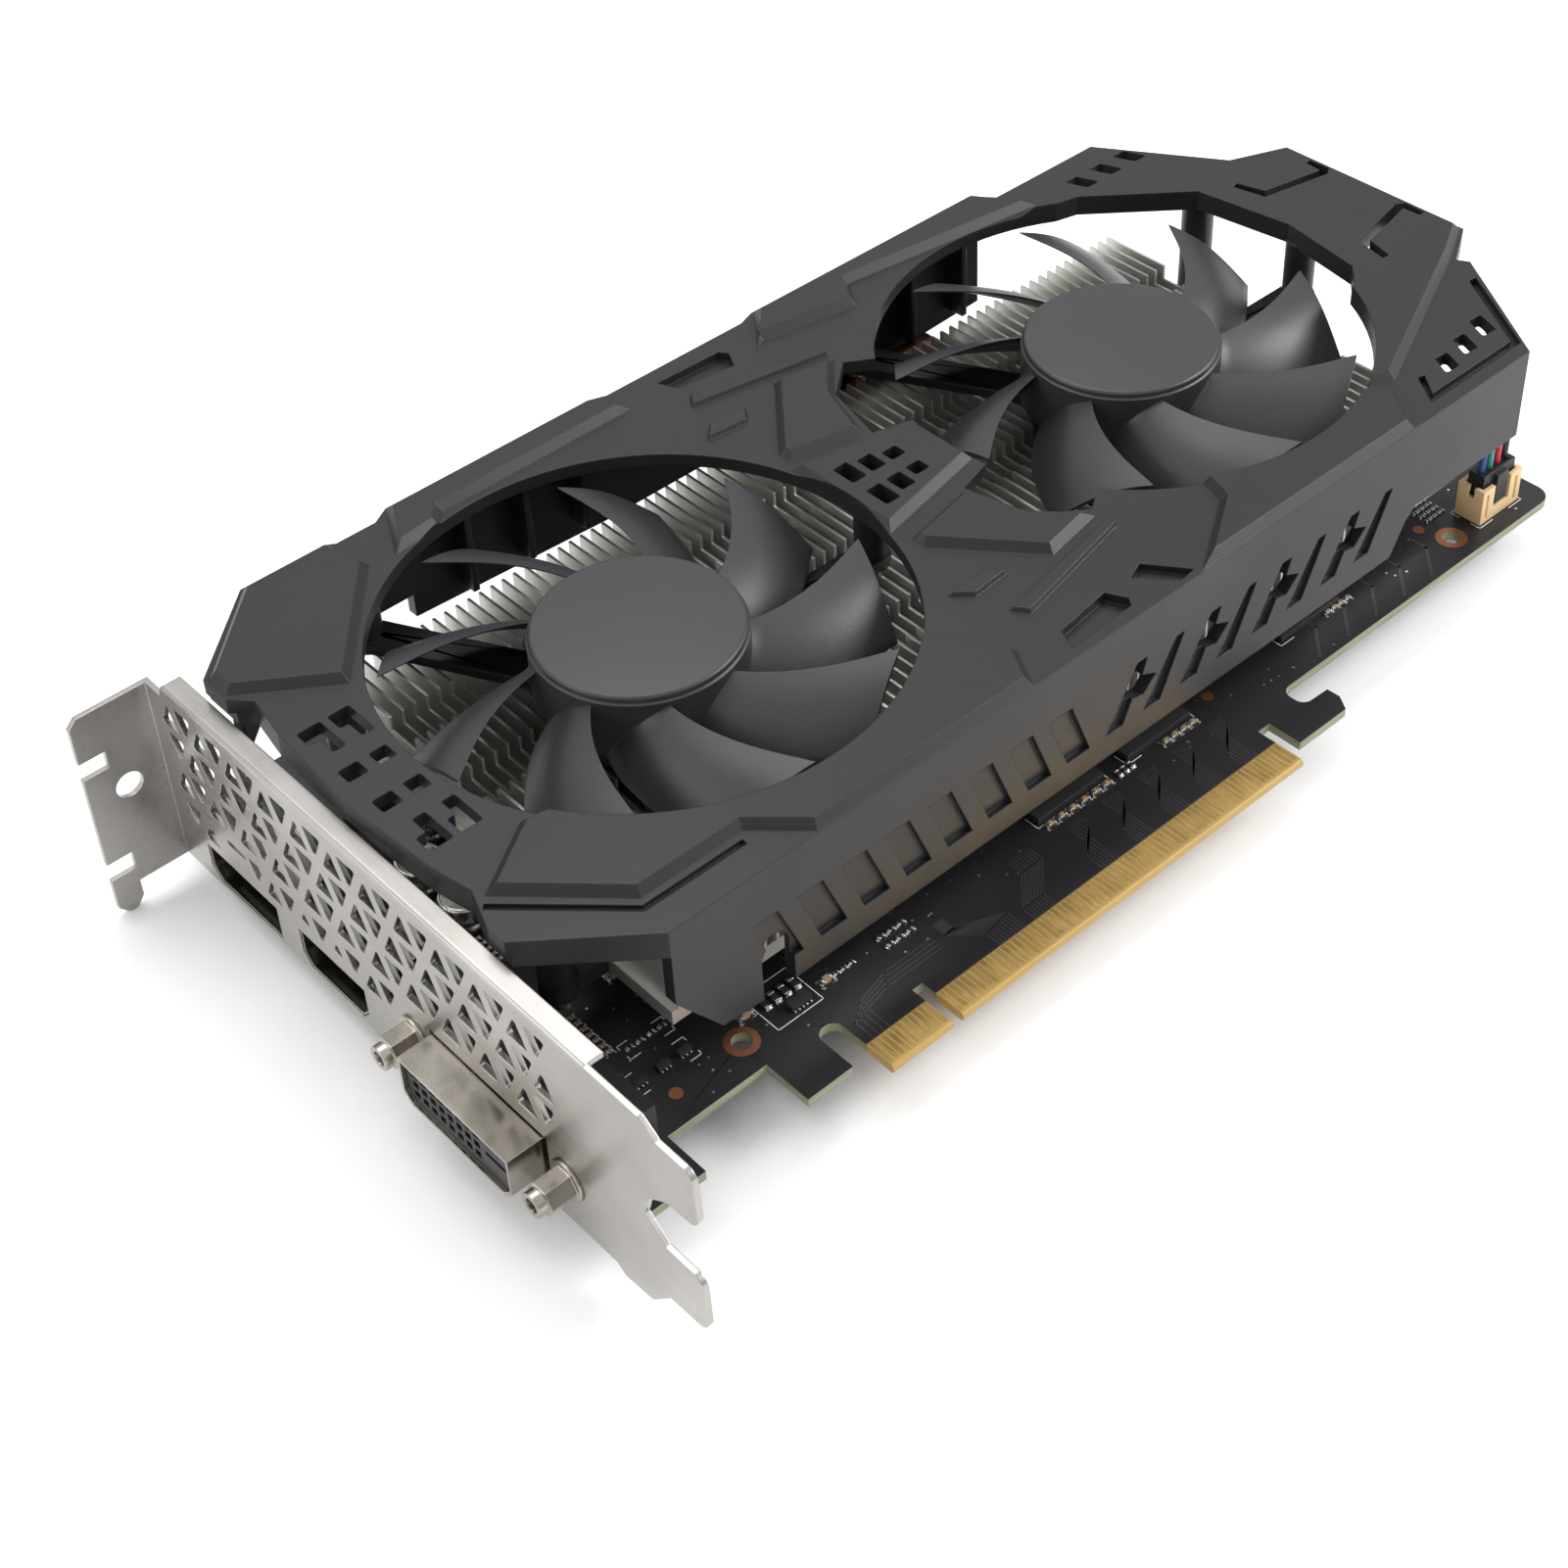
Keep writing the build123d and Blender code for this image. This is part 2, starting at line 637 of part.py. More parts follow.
def lead_route(index):
    """Corner points of one fan lead from its pin to the motor it feeds."""
    fan = 1 if index < 2 else 0
    side_step = 4.0 if index % 2 == 0 else 5.6
    run_z = WIRE_LEVELS[index]
    motor_z = WIRE_LEVELS[index % 2]
    arm = math.radians(ARM_ANGLES[1])
    along = (-math.cos(arm), -math.sin(arm))
    shift = (along[1] * side_step, -along[0] * side_step)
    line_x = FAN_X[fan] + shift[0]
    line_y = AXIS_Y + shift[1]
    end = (line_x - along[0] * 15.0, line_y - along[1] * 15.0, motor_z)
    turn_x = line_x + (WIRE_PLANE_Y - line_y) * along[0] / along[1]
    points = [(PIN_X[index], WIRE_PLANE_Y, 6.2), (PIN_X[index], WIRE_PLANE_Y, run_z)]
    if run_z != motor_z:
        points.append((FAN_X[fan] + 5.0, WIRE_PLANE_Y, run_z))
        points.append((FAN_X[fan] - 8.0, WIRE_PLANE_Y, motor_z))
    points.append((turn_x, WIRE_PLANE_Y, motor_z))
    points.append(end)
    return points


def make_lead(index):
    points = lead_route(index)
    radii = [WIRE_BEND] * (len(points) - 2)
    path = FilletPolyline(*points, radius=radii)
    section = Plane(origin=points[0], z_dir=(0, 0, 1)) * Circle(WIRE_RADIUS)
    lead = sweep(section, path=path)
    expected = math.pi * WIRE_RADIUS ** 2 * path.length
    print(f"lead {index}: length {path.length:.1f}, bends {radii}")
    print(f"lead {index}: volume {lead.volume:.1f}, expected {expected:.1f}")
    return lead


# ---------------------------------------------------------------- cooler
def make_contact_block():
    """Copper block between the die and the cooler base."""
    x, y = GPU_CENTRE
    return box(x - 17, x + 17, y - 17, y + 17, BOARD_TOP + 2.0, BASE_BOTTOM)


def make_heatsink_base():
    """Aluminium base plate with ears for the shroud screws and a rib under the heat pipe."""
    base = box(-31.5, 136.5, FIN_NEAR + 0.4, FIN_FAR - 0.4, BASE_BOTTOM, FIN_BOTTOM)
    for x, y in EARS:
        inner_x = -31.5 if x < 0 else 136.5
        low_x, high_x = sorted((x, inner_x))
        base += box(low_x, high_x, y - EAR_ARM_WIDTH / 2, y + EAR_ARM_WIDTH / 2, BASE_BOTTOM, FIN_BOTTOM)
        base += rod(x, y, BASE_BOTTOM, FIN_BOTTOM, EAR_RADIUS)
        base -= rod(x, y, 0, 12, 1.3)
    for x, y in cooler_screw_places():
        base += rod(x, y, BOARD_TOP, BASE_BOTTOM, 2.6)
        base -= rod(x, y, 0, 5.0, 1.2)
    base += box(PIPE_X - 3.4, PIPE_X + 3.4, 36.0, FIN_FAR - 2, FIN_BOTTOM, PIPE_Z - 1.5)
    pipe_bed = Pos(PIPE_X, 70, PIPE_Z) * Rot(90, 0, 0) * Cylinder(PIPE_RADIUS, 80)
    return base - pipe_bed


def fin_profile():
    """Side view of one fin as (y, z): a row of notches in the top edge."""
    points = [(FIN_NEAR, FIN_BOTTOM), (FIN_NEAR, FIN_TOP)]
    y = FIN_NEAR + 8.0
    while y + FIN_NOTCH_LENGTH < FIN_FAR - 4:
        points.append((y, FIN_TOP))
        points.append((y, FIN_TOP - FIN_NOTCH_DEPTH))
        points.append((y + FIN_NOTCH_LENGTH, FIN_TOP - FIN_NOTCH_DEPTH))
        points.append((y + FIN_NOTCH_LENGTH, FIN_TOP))
        y += FIN_NOTCH_PITCH
    points.append((FIN_FAR, FIN_TOP))
    points.append((FIN_FAR, FIN_BOTTOM))
    return points


def make_fins():
    """Fins parallel to Y; those over the heat pipe are left out along its channel."""
    fins = []
    profile = fin_profile()
    for k in range(FIN_COUNT):
        x = FIN_FIRST + k * FIN_PITCH
        fin = slab_yz(profile, x - FIN_THICK / 2, x + FIN_THICK / 2)
        if abs(x - PIPE_X) < 3.4 + FIN_THICK:
            fin -= box(x - 1, x + 1, 34.0, FIN_FAR + 1, 0, 40)
        fins.append(fin)
    return Compound(children=[s for f in fins for s in f.solids()])


def make_heat_pipe():
    """Copper pipe that leaves the base and runs along the far ends of the fins."""
    points = [(PIPE_X, 38.0, PIPE_Z), (PIPE_X, PIPE_FAR_Y, PIPE_Z), (94.0, PIPE_FAR_Y, PIPE_Z)]
    path = FilletPolyline(*points, radius=[7.0])
    section = Plane(origin=points[0], z_dir=(0, 1, 0)) * Circle(PIPE_RADIUS)
    pipe = sweep(section, path=path)
    print(f"heat pipe: length {path.length:.1f}, bend 7.0")
    return pipe


def make_cooler_screws():
    """Four screws from the back of the board into the cooler base."""
    screws = []
    for x, y in cooler_screw_places():
        head = rod(x, y, BOARD_BOTTOM - 2.4, BOARD_BOTTOM - 1.2, 2.8)
        neck = rod(x, y, BOARD_BOTTOM - 1.2, 5.0, 1.2)
        slot = box(x - 2.0, x + 2.0, y - 0.3, y + 0.3, BOARD_BOTTOM - 2.6, BOARD_BOTTOM - 1.9)
        screws.append(head + neck - slot)
    return Compound(children=screws)


def make_cooler_springs():
    """Spring washers under the screw heads."""
    return Compound(children=[
        tube(x, y, BOARD_BOTTOM - 1.2, BOARD_BOTTOM, 2.2, 1.5) for x, y in cooler_screw_places()
    ])


def make_shroud_screws():
    """Four screws that join the cooler base to the shroud posts."""
    screws = []
    for x, y in EARS:
        head = rod(x, y, BASE_BOTTOM - 1.4, BASE_BOTTOM, 2.4)
        screws.append(head + rod(x, y, BASE_BOTTOM, 15.0, 1.3))
    return Compound(children=screws)


# ---------------------------------------------------------------- shroud
OUTLINE = [
    (-37.2, SKIRT_Y), (138.0, SKIRT_Y), (152.3, 35.0), (151.2, 37.0), (159.6, 41.8), (159.6, 79.2),
    (150.3, 83.0), (136.5, 104.3), (113.0, 104.3), (110.0, FAR_WALL_Y), (60.0, FAR_WALL_Y), (57.0, 106.8),
    (29.0, 106.8), (26.0, FAR_WALL_Y), (-12.5, FAR_WALL_Y), (-15.5, 106.2), (-22.5, 106.2), (-24.0, 107.2),
    (-38.5, 107.2), (-53.0, 94.2), (-53.0, 88.6), (-50.3, 85.5), (-51.6, 78.0), (-52.8, 60.5),
    (-51.6, 43.0), (-50.3, 36.0), (-52.8, 29.3), (-52.8, 26.0),
]


TAIL_SIDE = [
    (96.0, 98.4), (109.0, 96.2), (121.0, 93.0), (136.5, 79.5), (139.0, 62.0),
    (136.3, 46.5), (133.0, 43.4), (110.0, 35.0),
]
SIDE_NOTCH = [(60.0, 67.8), (51.5, 70.2), (54.3, 81.5), (61.0, 87.0), (72.0, 80.0)]


def opening_solids(z0, z1):
    """Fan openings: a circle for the left fan, a circle with cut-back sides for the right."""
    left = rod(OPENING_X[0], AXIS_Y, z0, z1, OPENING_RADIUS)
    right = rod(OPENING_X[1], AXIS_Y, z0, z1, OPENING_RADIUS)
    for shape in (TAIL_SIDE, SIDE_NOTCH, mirrored(SIDE_NOTCH)):
        right += prism(shape, z0, z1)
    return left, right


RAISED_PANELS = {
    "near left": [
        (-38.5, 41.2), (-49.8, 33.9), (-36.0, 19.9), (-19.0, 19.9), (-12.2, 13.2), (27.3, 13.2), (30.8, 19.5),
        (24.0, 31.0),
    ],
    "far left": [
        (-52.6, 93.6), (-52.6, 89.0), (-38.8, 79.0), (-22.0, 98.4), (-22.8, 102.0), (-23.6, 106.6),
        (-38.6, 106.6),
    ],
    "far bar left": [
        (-12.8, 107.4), (25.9, 107.4), (29.4, 101.2), (-6.8, 101.2), (-9.2, 98.6), (-18.0, 97.6),
    ],
    "far bar right": [
        (60.2, 107.4), (109.4, 107.4), (116.0, 97.6), (77.0, 102.8), (73.6, 97.0), (56.2, 100.6),
        (53.0, 98.4),
    ],
    "badge": [(36.2, 71.8), (57.6, 67.9), (57.6, 54.9), (36.2, 50.4)],
    "arrow far": [(37.4, 76.0), (49.4, 90.4), (60.4, 88.4), (53.8, 81.0), (50.4, 71.0), (37.4, 73.6)],
    "near right": [(61.4, 13.2), (109.6, 13.2), (116.0, 22.4), (105.0, 28.0), (78.0, 30.0), (75.4, 22.0)],
    "tail": [
        (115.4, 97.2), (149.6, 83.0), (159.2, 79.0), (159.2, 42.2), (150.8, 37.8), (117.4, 23.0),
        (104.0, 28.0),
        (120.0, 60.0), (100.0, 96.0),
    ],
}
LOW_BARS = (
    [(36.0, 94.6), (37.8, 97.2), (61.0, 92.2), (61.0, 90.0)],
    [(32.0, 86.4), (35.0, 89.2), (42.0, 88.6), (40.0, 85.6)],
)


def make_plate():
    """Flat face of the shroud with its rim, openings and raised panels."""
    outline = Polygon(*ordered(OUTLINE), align=None)
    plate = extrude(Pos(0, 0, PLATE_LOW) * outline, amount=PLATE_THICK)
    rim = outline - offset(outline, amount=-WALL, kind=Kind.INTERSECTION)
    plate += extrude(Pos(0, 0, 31.0) * rim, amount=PLATE_LOW - 31.0)
    outlines = list(RAISED_PANELS.values()) + [mirrored(RAISED_PANELS["arrow far"])]
    panels = [bevelled(points, PLATE_TOP, PLATE_TOP + RAISE, RAISE_LEAN) for points in outlines]
    for bar in LOW_BARS:
        panels.append(bevelled(bar, PLATE_TOP, PLATE_TOP + RAISE / 2, RAISE_LEAN / 3))
        panels.append(bevelled(mirrored(bar), PLATE_TOP, PLATE_TOP + RAISE / 2, RAISE_LEAN / 3))
    for panel in panels:
        plate += panel
    for solid in opening_solids(PLATE_LOW - 4, PLATE_TOP + 5):
        plate -= solid
    return plate


def face_cuts():
    """Vents, slots and recesses cut into the shroud face."""
    cuts = []
    low = PLATE_LOW - 3
    high = PLATE_TOP + 3
    windows = []
    for x0, x1 in ((-50.2, -47.0), (-45.2, -42.4)):
        windows.append([(x0, 2.5), (x1, 2.5), (x1, 5.3), (x0, 5.3)])
    for x0, x1 in ((-50.0, -46.2), (-45.0, -41.5)):
        step = x1 - 2.1
        windows.append([(x0, 12.1), (step, 12.1), (step, 8.9), (x1, 8.9), (x1, 15.3), (x0, 15.3)])
    # badge windows shrink towards the tail
    for x0, height in ((39.6, 4.6), (43.6, 3.7), (47.6, 2.5)):
        windows.append([(x0, 1.3), (x0 + 2.8, 1.3), (x0 + 2.8, 1.3 + height), (x0, 1.3 + height)])
    for window in windows:
        far_side = [(x, AXIS_Y + y) for x, y in window]
        cuts.append(rounded_prism(far_side, low, high, WINDOW_CORNER))
        cuts.append(rounded_prism(mirrored(far_side), low, high, WINDOW_CORNER))
    # bent slots in the tail panel
    for flip in (False, True):
        slot = [
            (141.6, 76.4), (142.9, 70.3), (156.0, 67.6), (157.6, 68.6), (157.4, 72.6), (156.2, 72.5),
            (156.0, 69.3), (144.4, 71.6), (143.0, 76.6),
        ]
        cuts.append(prism(mirrored(slot) if flip else slot, low, high))
    # square vents of the two side panels
    for k in range(3):
        x = 124.4 + 6.0 * k
        near = [(x, 18.6 + k), (x + 3.0, 18.4 + k), (x + 4.6, 22.0 + k * 1.3), (x + 1.8, 22.2 + k * 1.3)]
        far = [(x, 99.4), (x + 3.0, 99.2), (x + 4.6, 95.2), (x + 1.8, 95.4)]
        cuts.append(rounded_prism(near, low, high, WINDOW_CORNER))
        cuts.append(rounded_prism(far, low, high, WINDOW_CORNER))
    groove = [
        (116.4, 15.4), (139.0, 15.4), (149.2, 31.6), (147.6, 31.8), (138.2, 16.8), (118.6, 16.8),
        (121.6, 20.6), (120.4, 21.0),
    ]
    cuts.append(prism(groove, PLATE_TOP - 1.2, high))
    # pockets of the middle section
    pocket = [(36.6, 17.0), (38.2, 20.6), (48.4, 22.0), (50.0, 18.8), (49.0, 17.4)]
    cuts.append(prism([(x, y - 2.2) for x, y in pocket], PLATE_TOP - 1.5, high))
    cuts.append(prism(mirrored([(x, y + 0.2) for x, y in pocket]), PLATE_TOP - 1.5, high))
    cuts.append(prism([(53.4, 19.4), (56.7, 20.6), (61.2, 14.4), (58.0, 14.0)], PLATE_TOP - 1.2, high))
    # double groove in front of the near left panel
    double_groove = [(-50.6, 33.0), (-36.5, 18.9), (-20.0, 18.9), (-20.0, 17.9), (-36.9, 17.9), (-51.3, 32.3)]
    cuts.append(prism(double_groove, PLATE_TOP - 0.7, high))
    return cuts


def skirt_profile():
    """Near wall as (x, z): leg at the left, step up under the tail."""
    return [
        (-37.2, PLATE_LOW + 0.5), (-37.2, 22.4), (-29.9, 12.6), (-23.0, SKIRT_LOW), (107.0, SKIRT_LOW),
        (110.0, 17.4), (112.2, 19.4), (138.0, 19.4), (138.0, PLATE_LOW + 0.5),
    ]


def skirt_cuts():
    """Arch beside the leg, slanted windows and H-shaped vents, as solids across the wall."""
    cuts = [box(-22.9, -17.3, SKIRT_Y - 1, SKIRT_Y + 4, 10, 18.8)]
    cuts.append(Pos(-20.1, SKIRT_Y, 18.8) * Rot(90, 0, 0) * Cylinder(2.8, 8))
    z0 = 16.3
    z1 = 26.5
    for k in range(8):
        right = -15.7 + k * 7.82
        left = right - 4.6
        window = [(right, z0), (left, z0), (left - WINDOW_SLANT, z1), (right - WINDOW_SLANT, z1)]
        cuts.append(slab_xz(window, SKIRT_Y - 1, SKIRT_Y + 0.9))
    for k in range(4):
        x = 15.75 * k
        left = [(42.3 + x, z0), (45.9 + x, z0), (50.6 + x, z1), (48.4 + x, z1)]
        right = [(50.2 + x, z0), (53.8 + x, z0), (58.4 + x, z1), (56.6 + x, z1)]
        bar = [(46.2 + x, 20.4), (50.0 + x, 19.6), (52.6 + x, 22.2), (48.6 + x, 24.0), (47.0 + x, 24.0)]
        upper = [(47.1 + x, 23.0), (49.4 + x, 23.0), (50.6 + x, z1), (48.4 + x, z1)]
        for groove in (left, right):
            cuts.append(slab_xz(groove, SKIRT_Y - 1, SKIRT_Y + 0.8))
        for hole in (bar, upper):
            cuts.append(slab_xz(hole, SKIRT_Y - 1, SKIRT_Y + 4))
    return cuts


def make_shroud():
    shroud = make_plate()
    skirt = slab_xz(skirt_profile(), SKIRT_Y, SKIRT_Y + WALL)
    for cut in skirt_cuts():
        skirt -= cut
    shroud += skirt
    top = PLATE_LOW + 0.5
    far = [(-12.0, top), (-12.0, 16.0), (25.0, 14.0), (61.0, 14.0), (109.0, 16.0), (109.0, top)]
    shroud += slab_xz(far, 104.8, 106.8)
    for x, y in EARS:
        shroud += rod(x, y, FIN_BOTTOM, PLATE_LOW + 0.5, 2.8)
        shroud -= rod(x, y, FIN_BOTTOM - 1, 15.0, 1.3)
    for centre_x in FAN_X:
        for degrees in ARM_ANGLES:
            x, y = polar(centre_x, POST_RING, degrees)
            shroud += rod(x, y, ARM_Z + ARM_THICK, PLATE_LOW + 0.5, POST_RADIUS)
            shroud -= rod(x, y, ARM_Z, 29.0, 1.1)
    for cut in face_cuts():
        shroud -= cut
    # clearance over the bracket lip
    shroud -= box(-60, LIP_EDGE + 1.2, 0, 110, 20, 33.0)
    return shroud


# ---------------------------------------------------------------- fans
def blade_section(s):
    """Corner points of a blade at fraction s of its length, in fan coordinates."""
    radius = (HUB_RADIUS - 0.6) + s * (BLADE_RADIUS - HUB_RADIUS + 0.6)
    lead_angle = -BLADE_SWEEP * (1 - s) ** 1.15
    drop = 8.6 - 0.6 * s
    chord = 9.4 + 5.6 * s
    camber = 1.0 + 0.6 * s
    top_z = BLADE_TOP - 0.3 * (1 - s)
    trail_angle = lead_angle - math.degrees(chord / radius)
    thickness = 1.7 - 0.7 * s
    points = []
    for k in range(BLADE_CHORD_STEPS + 1):
        t = k / BLADE_CHORD_STEPS
        angle = math.radians(lead_angle + (trail_angle - lead_angle) * t)
        z = top_z - drop * t + camber * math.sin(math.pi * t)
        points.append((radius, angle, z))
    return points, thickness


def make_blade():
    """One swept blade, lofted through thin curved sections."""
    sections = []
    for i in range(BLADE_LENGTH_STEPS + 1):
        points, thickness = blade_section(i / BLADE_LENGTH_STEPS)
        radius = points[0][0]
        middle = points[len(points) // 2][1]
        plane = Plane(
            origin=(radius * math.cos(middle), radius * math.sin(middle), 0),
            x_dir=(-math.sin(middle), math.cos(middle), 0),
            z_dir=(math.cos(middle), math.sin(middle), 0),
        )
        upper = [(radius * math.sin(a - middle), z) for _, a, z in points]
        lower = [(u - 0.35 * thickness, z - 0.9 * thickness) for u, z in upper]
        outline = upper + lower[::-1]
        sections.append(plane * Polygon(*ordered(outline), align=None))
    return loft(sections, ruled=True)


def make_rotor(centre_x, phase):
    """Hub cup with nine blades, one moulding."""
    hub = rod(0, 0, HUB_BOTTOM, HUB_TOP, HUB_RADIUS)
    hub = chamfer(hub.edges().sort_by(Axis.Z)[-1], 0.5)
    hub -= rod(0, 0, HUB_BOTTOM - 1, HUB_TOP - 1.4, HUB_RADIUS - 1.4)
    hub += tube(0, 0, HUB_TOP - 3.6, HUB_TOP - 1.4, 3.2, SHAFT_RADIUS)
    blade = make_blade()
    inside = rod(0, 0, HUB_BOTTOM - 2, HUB_TOP + 2, HUB_RADIUS - 0.7)
    blade = blade - inside
    shell = rod(0, 0, 20, 40, BLADE_RADIUS)
    blade = blade & shell
    rotor = hub
    for k in range(BLADE_COUNT):
        rotor += Rot(0, 0, phase + k * 360 / BLADE_COUNT) * blade
    return Pos(centre_x, AXIS_Y, 0) * rotor


def make_magnet_ring(centre_x):
    """Steel yoke and magnet pressed into the hub."""
    return tube(centre_x, AXIS_Y, 25.4, HUB_TOP - 1.4, HUB_RADIUS - 1.4, 12.4)


def make_shaft(centre_x):
    return rod(centre_x, AXIS_Y, 24.0, HUB_TOP - 1.4, SHAFT_RADIUS)


def make_bearing(centre_x):
    return tube(centre_x, AXIS_Y, 23.8, 31.4, 2.9, SHAFT_RADIUS + BEARING_CLEARANCE)


def make_stator(centre_x):
    """Laminated core with four wound poles."""
    core = tube(centre_x, AXIS_Y, 26.2, 30.8, 6.4, 4.1)
    for k in range(4):
        pole = Pos(centre_x, AXIS_Y, 28.5) * Rot(0, 0, 45 + 90 * k) * Pos(8.4, 0, 0) * Box(6.0, 5.0, 4.6)
        shoe = tube(centre_x, AXIS_Y, 26.8, 30.2, 11.9, 10.9)
        wedge = Pos(centre_x, AXIS_Y, 28.5) * Rot(0, 0, 45 + 90 * k) * Pos(9.5, 0, 0) * Box(8.0, 13.0, 8.0)
        core += pole
        core += shoe & wedge
    return core & rod(centre_x, AXIS_Y, 20, 40, 11.9)


def make_fan_frame(centre_x):
    """Motor base, bearing boss and three arms."""
    frame = rod(centre_x, AXIS_Y, ARM_Z, ARM_Z + ARM_THICK, 14.4)
    for degrees in ARM_ANGLES:
        arm = Rot(0, 0, degrees) * Pos(28.4, 0, 0) * Box(32.2, 6.0, ARM_THICK)
        frame += Pos(centre_x, AXIS_Y, ARM_Z + ARM_THICK / 2) * arm
        x, y = polar(centre_x, POST_RING, degrees)
        frame += rod(x, y, ARM_Z, ARM_Z + ARM_THICK, 3.0)
    frame += rod(centre_x, AXIS_Y, ARM_Z, 31.4, 4.1)
    frame -= rod(centre_x, AXIS_Y, 23.8, 40, 2.9)
    for degrees in ARM_ANGLES:
        x, y = polar(centre_x, POST_RING, degrees)
        frame -= rod(x, y, ARM_Z - 1, 26, 1.1)
    return frame


def make_fan_screws():
    """Six screws that hold the two fan frames to the shroud."""
    screws = []
    for centre_x in FAN_X:
        for degrees in ARM_ANGLES:
            x, y = polar(centre_x, POST_RING, degrees)
            screws.append(rod(x, y, ARM_Z - 1.2, ARM_Z, 2.1) + rod(x, y, ARM_Z, 28.5, 1.1))
    return Compound(children=screws)


# ---------------------------------------------------------------- build
save("circuit_board", make_board())
save("edge_contacts", make_contacts())
save("copper_rings", make_copper_rings())
save("slot_bracket", make_bracket())
save("hdmi_shell", make_hdmi_shell())
save("hdmi_tongue", make_hdmi_tongue())
save("displayport_shell", make_dp_shell())
save("displayport_tongue", make_dp_tongue())
save("dvi_shell", make_dvi_shell())
save("dvi_insert", make_dvi_insert())
save("dvi_jack_screws", make_dvi_jack_screws())
save("gpu_package", make_gpu_package())
save("gpu_die", make_gpu_die())
save("memory_chips", make_memory_chips())
save("power_chokes", make_chokes())
save("power_transistors", make_mosfets())
save("capacitor_bases", make_capacitor_bases())
save("capacitor_cans", make_capacitor_cans())
save("chip_capacitors", make_chip_capacitors())
save("chip_resistors", make_chip_resistors())
save("small_chips", make_small_chips())
save("fan_header", make_fan_header())
save("fan_header_pins", make_header_pins())
save("fan_plug", make_fan_plug())
for index, colour in enumerate(("blue", "green", "red", "black")):
    save(f"fan_lead_{colour}", make_lead(index))
save("contact_block", make_contact_block())
save("heatsink_base", make_heatsink_base())
save("heatsink_fins", make_fins())
save("heat_pipe", make_heat_pipe())
save("cooler_screws", make_cooler_screws())
save("cooler_springs", make_cooler_springs())
save("shroud", make_shroud())
save("shroud_screws", make_shroud_screws())
save("fan_screws", make_fan_screws())
for side, centre_x, phase in (("left", FAN_X[0], -10.0), ("right", FAN_X[1], -10.0)):
    save(f"fan_{side}_rotor", make_rotor(centre_x, phase))
    save(f"fan_{side}_magnet_ring", make_magnet_ring(centre_x))
    save(f"fan_{side}_shaft", make_shaft(centre_x))
    save(f"fan_{side}_bearing", make_bearing(centre_x))
    save(f"fan_{side}_stator", make_stator(centre_x))
    save(f"fan_{side}_frame", make_fan_frame(centre_x))
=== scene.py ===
import math
import random

import bmesh
import bpy
from mathutils import Matrix, Vector


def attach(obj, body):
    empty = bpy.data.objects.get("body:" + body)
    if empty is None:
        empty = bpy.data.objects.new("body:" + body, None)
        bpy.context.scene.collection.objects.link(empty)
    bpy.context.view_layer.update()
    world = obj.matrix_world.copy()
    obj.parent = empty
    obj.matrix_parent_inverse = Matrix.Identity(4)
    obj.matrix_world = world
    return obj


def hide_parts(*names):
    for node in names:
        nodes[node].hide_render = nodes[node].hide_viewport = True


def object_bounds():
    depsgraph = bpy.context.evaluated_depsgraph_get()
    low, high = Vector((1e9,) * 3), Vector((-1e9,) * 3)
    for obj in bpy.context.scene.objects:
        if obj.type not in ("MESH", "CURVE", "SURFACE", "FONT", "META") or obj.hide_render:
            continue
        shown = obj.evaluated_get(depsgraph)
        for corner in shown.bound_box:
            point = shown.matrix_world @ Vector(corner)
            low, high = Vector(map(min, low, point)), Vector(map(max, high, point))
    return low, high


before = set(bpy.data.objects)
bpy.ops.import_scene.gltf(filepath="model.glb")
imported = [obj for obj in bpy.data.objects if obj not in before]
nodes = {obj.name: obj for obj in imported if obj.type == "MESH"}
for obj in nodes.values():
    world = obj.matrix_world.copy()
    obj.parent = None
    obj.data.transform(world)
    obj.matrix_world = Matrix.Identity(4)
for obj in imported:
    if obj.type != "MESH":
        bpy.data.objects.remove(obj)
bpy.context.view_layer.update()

MM = 0.001
scene = bpy.context.scene


# ------------------------------------------------------------------ camera
CAMERA_PLACE = (-0.16917, -0.17003, 0.27638)
CAMERA_AZIMUTH = -39.87
CAMERA_ELEVATION = 39.22
CAMERA_ROLL = -3.21
CAMERA_LENS = 61.10
CAMERA_SHIFT = (0.0032, -0.1392)


def make_camera():
    data = bpy.data.cameras.new("camera")
    data.sensor_width = 36.0
    data.lens = CAMERA_LENS
    data.shift_x, data.shift_y = CAMERA_SHIFT
    data.clip_start = 0.01
    data.clip_end = 20.0
    camera = bpy.data.objects.new("camera", data)
    turn = Matrix.Rotation(math.radians(CAMERA_AZIMUTH), 4, "Z")
    tip = Matrix.Rotation(math.radians(90 - CAMERA_ELEVATION), 4, "X")
    roll = Matrix.Rotation(math.radians(CAMERA_ROLL), 4, "Z")
    camera.matrix_world = Matrix.Translation(CAMERA_PLACE) @ turn @ tip @ roll
    scene.collection.objects.link(camera)
    scene.camera = camera


make_camera()


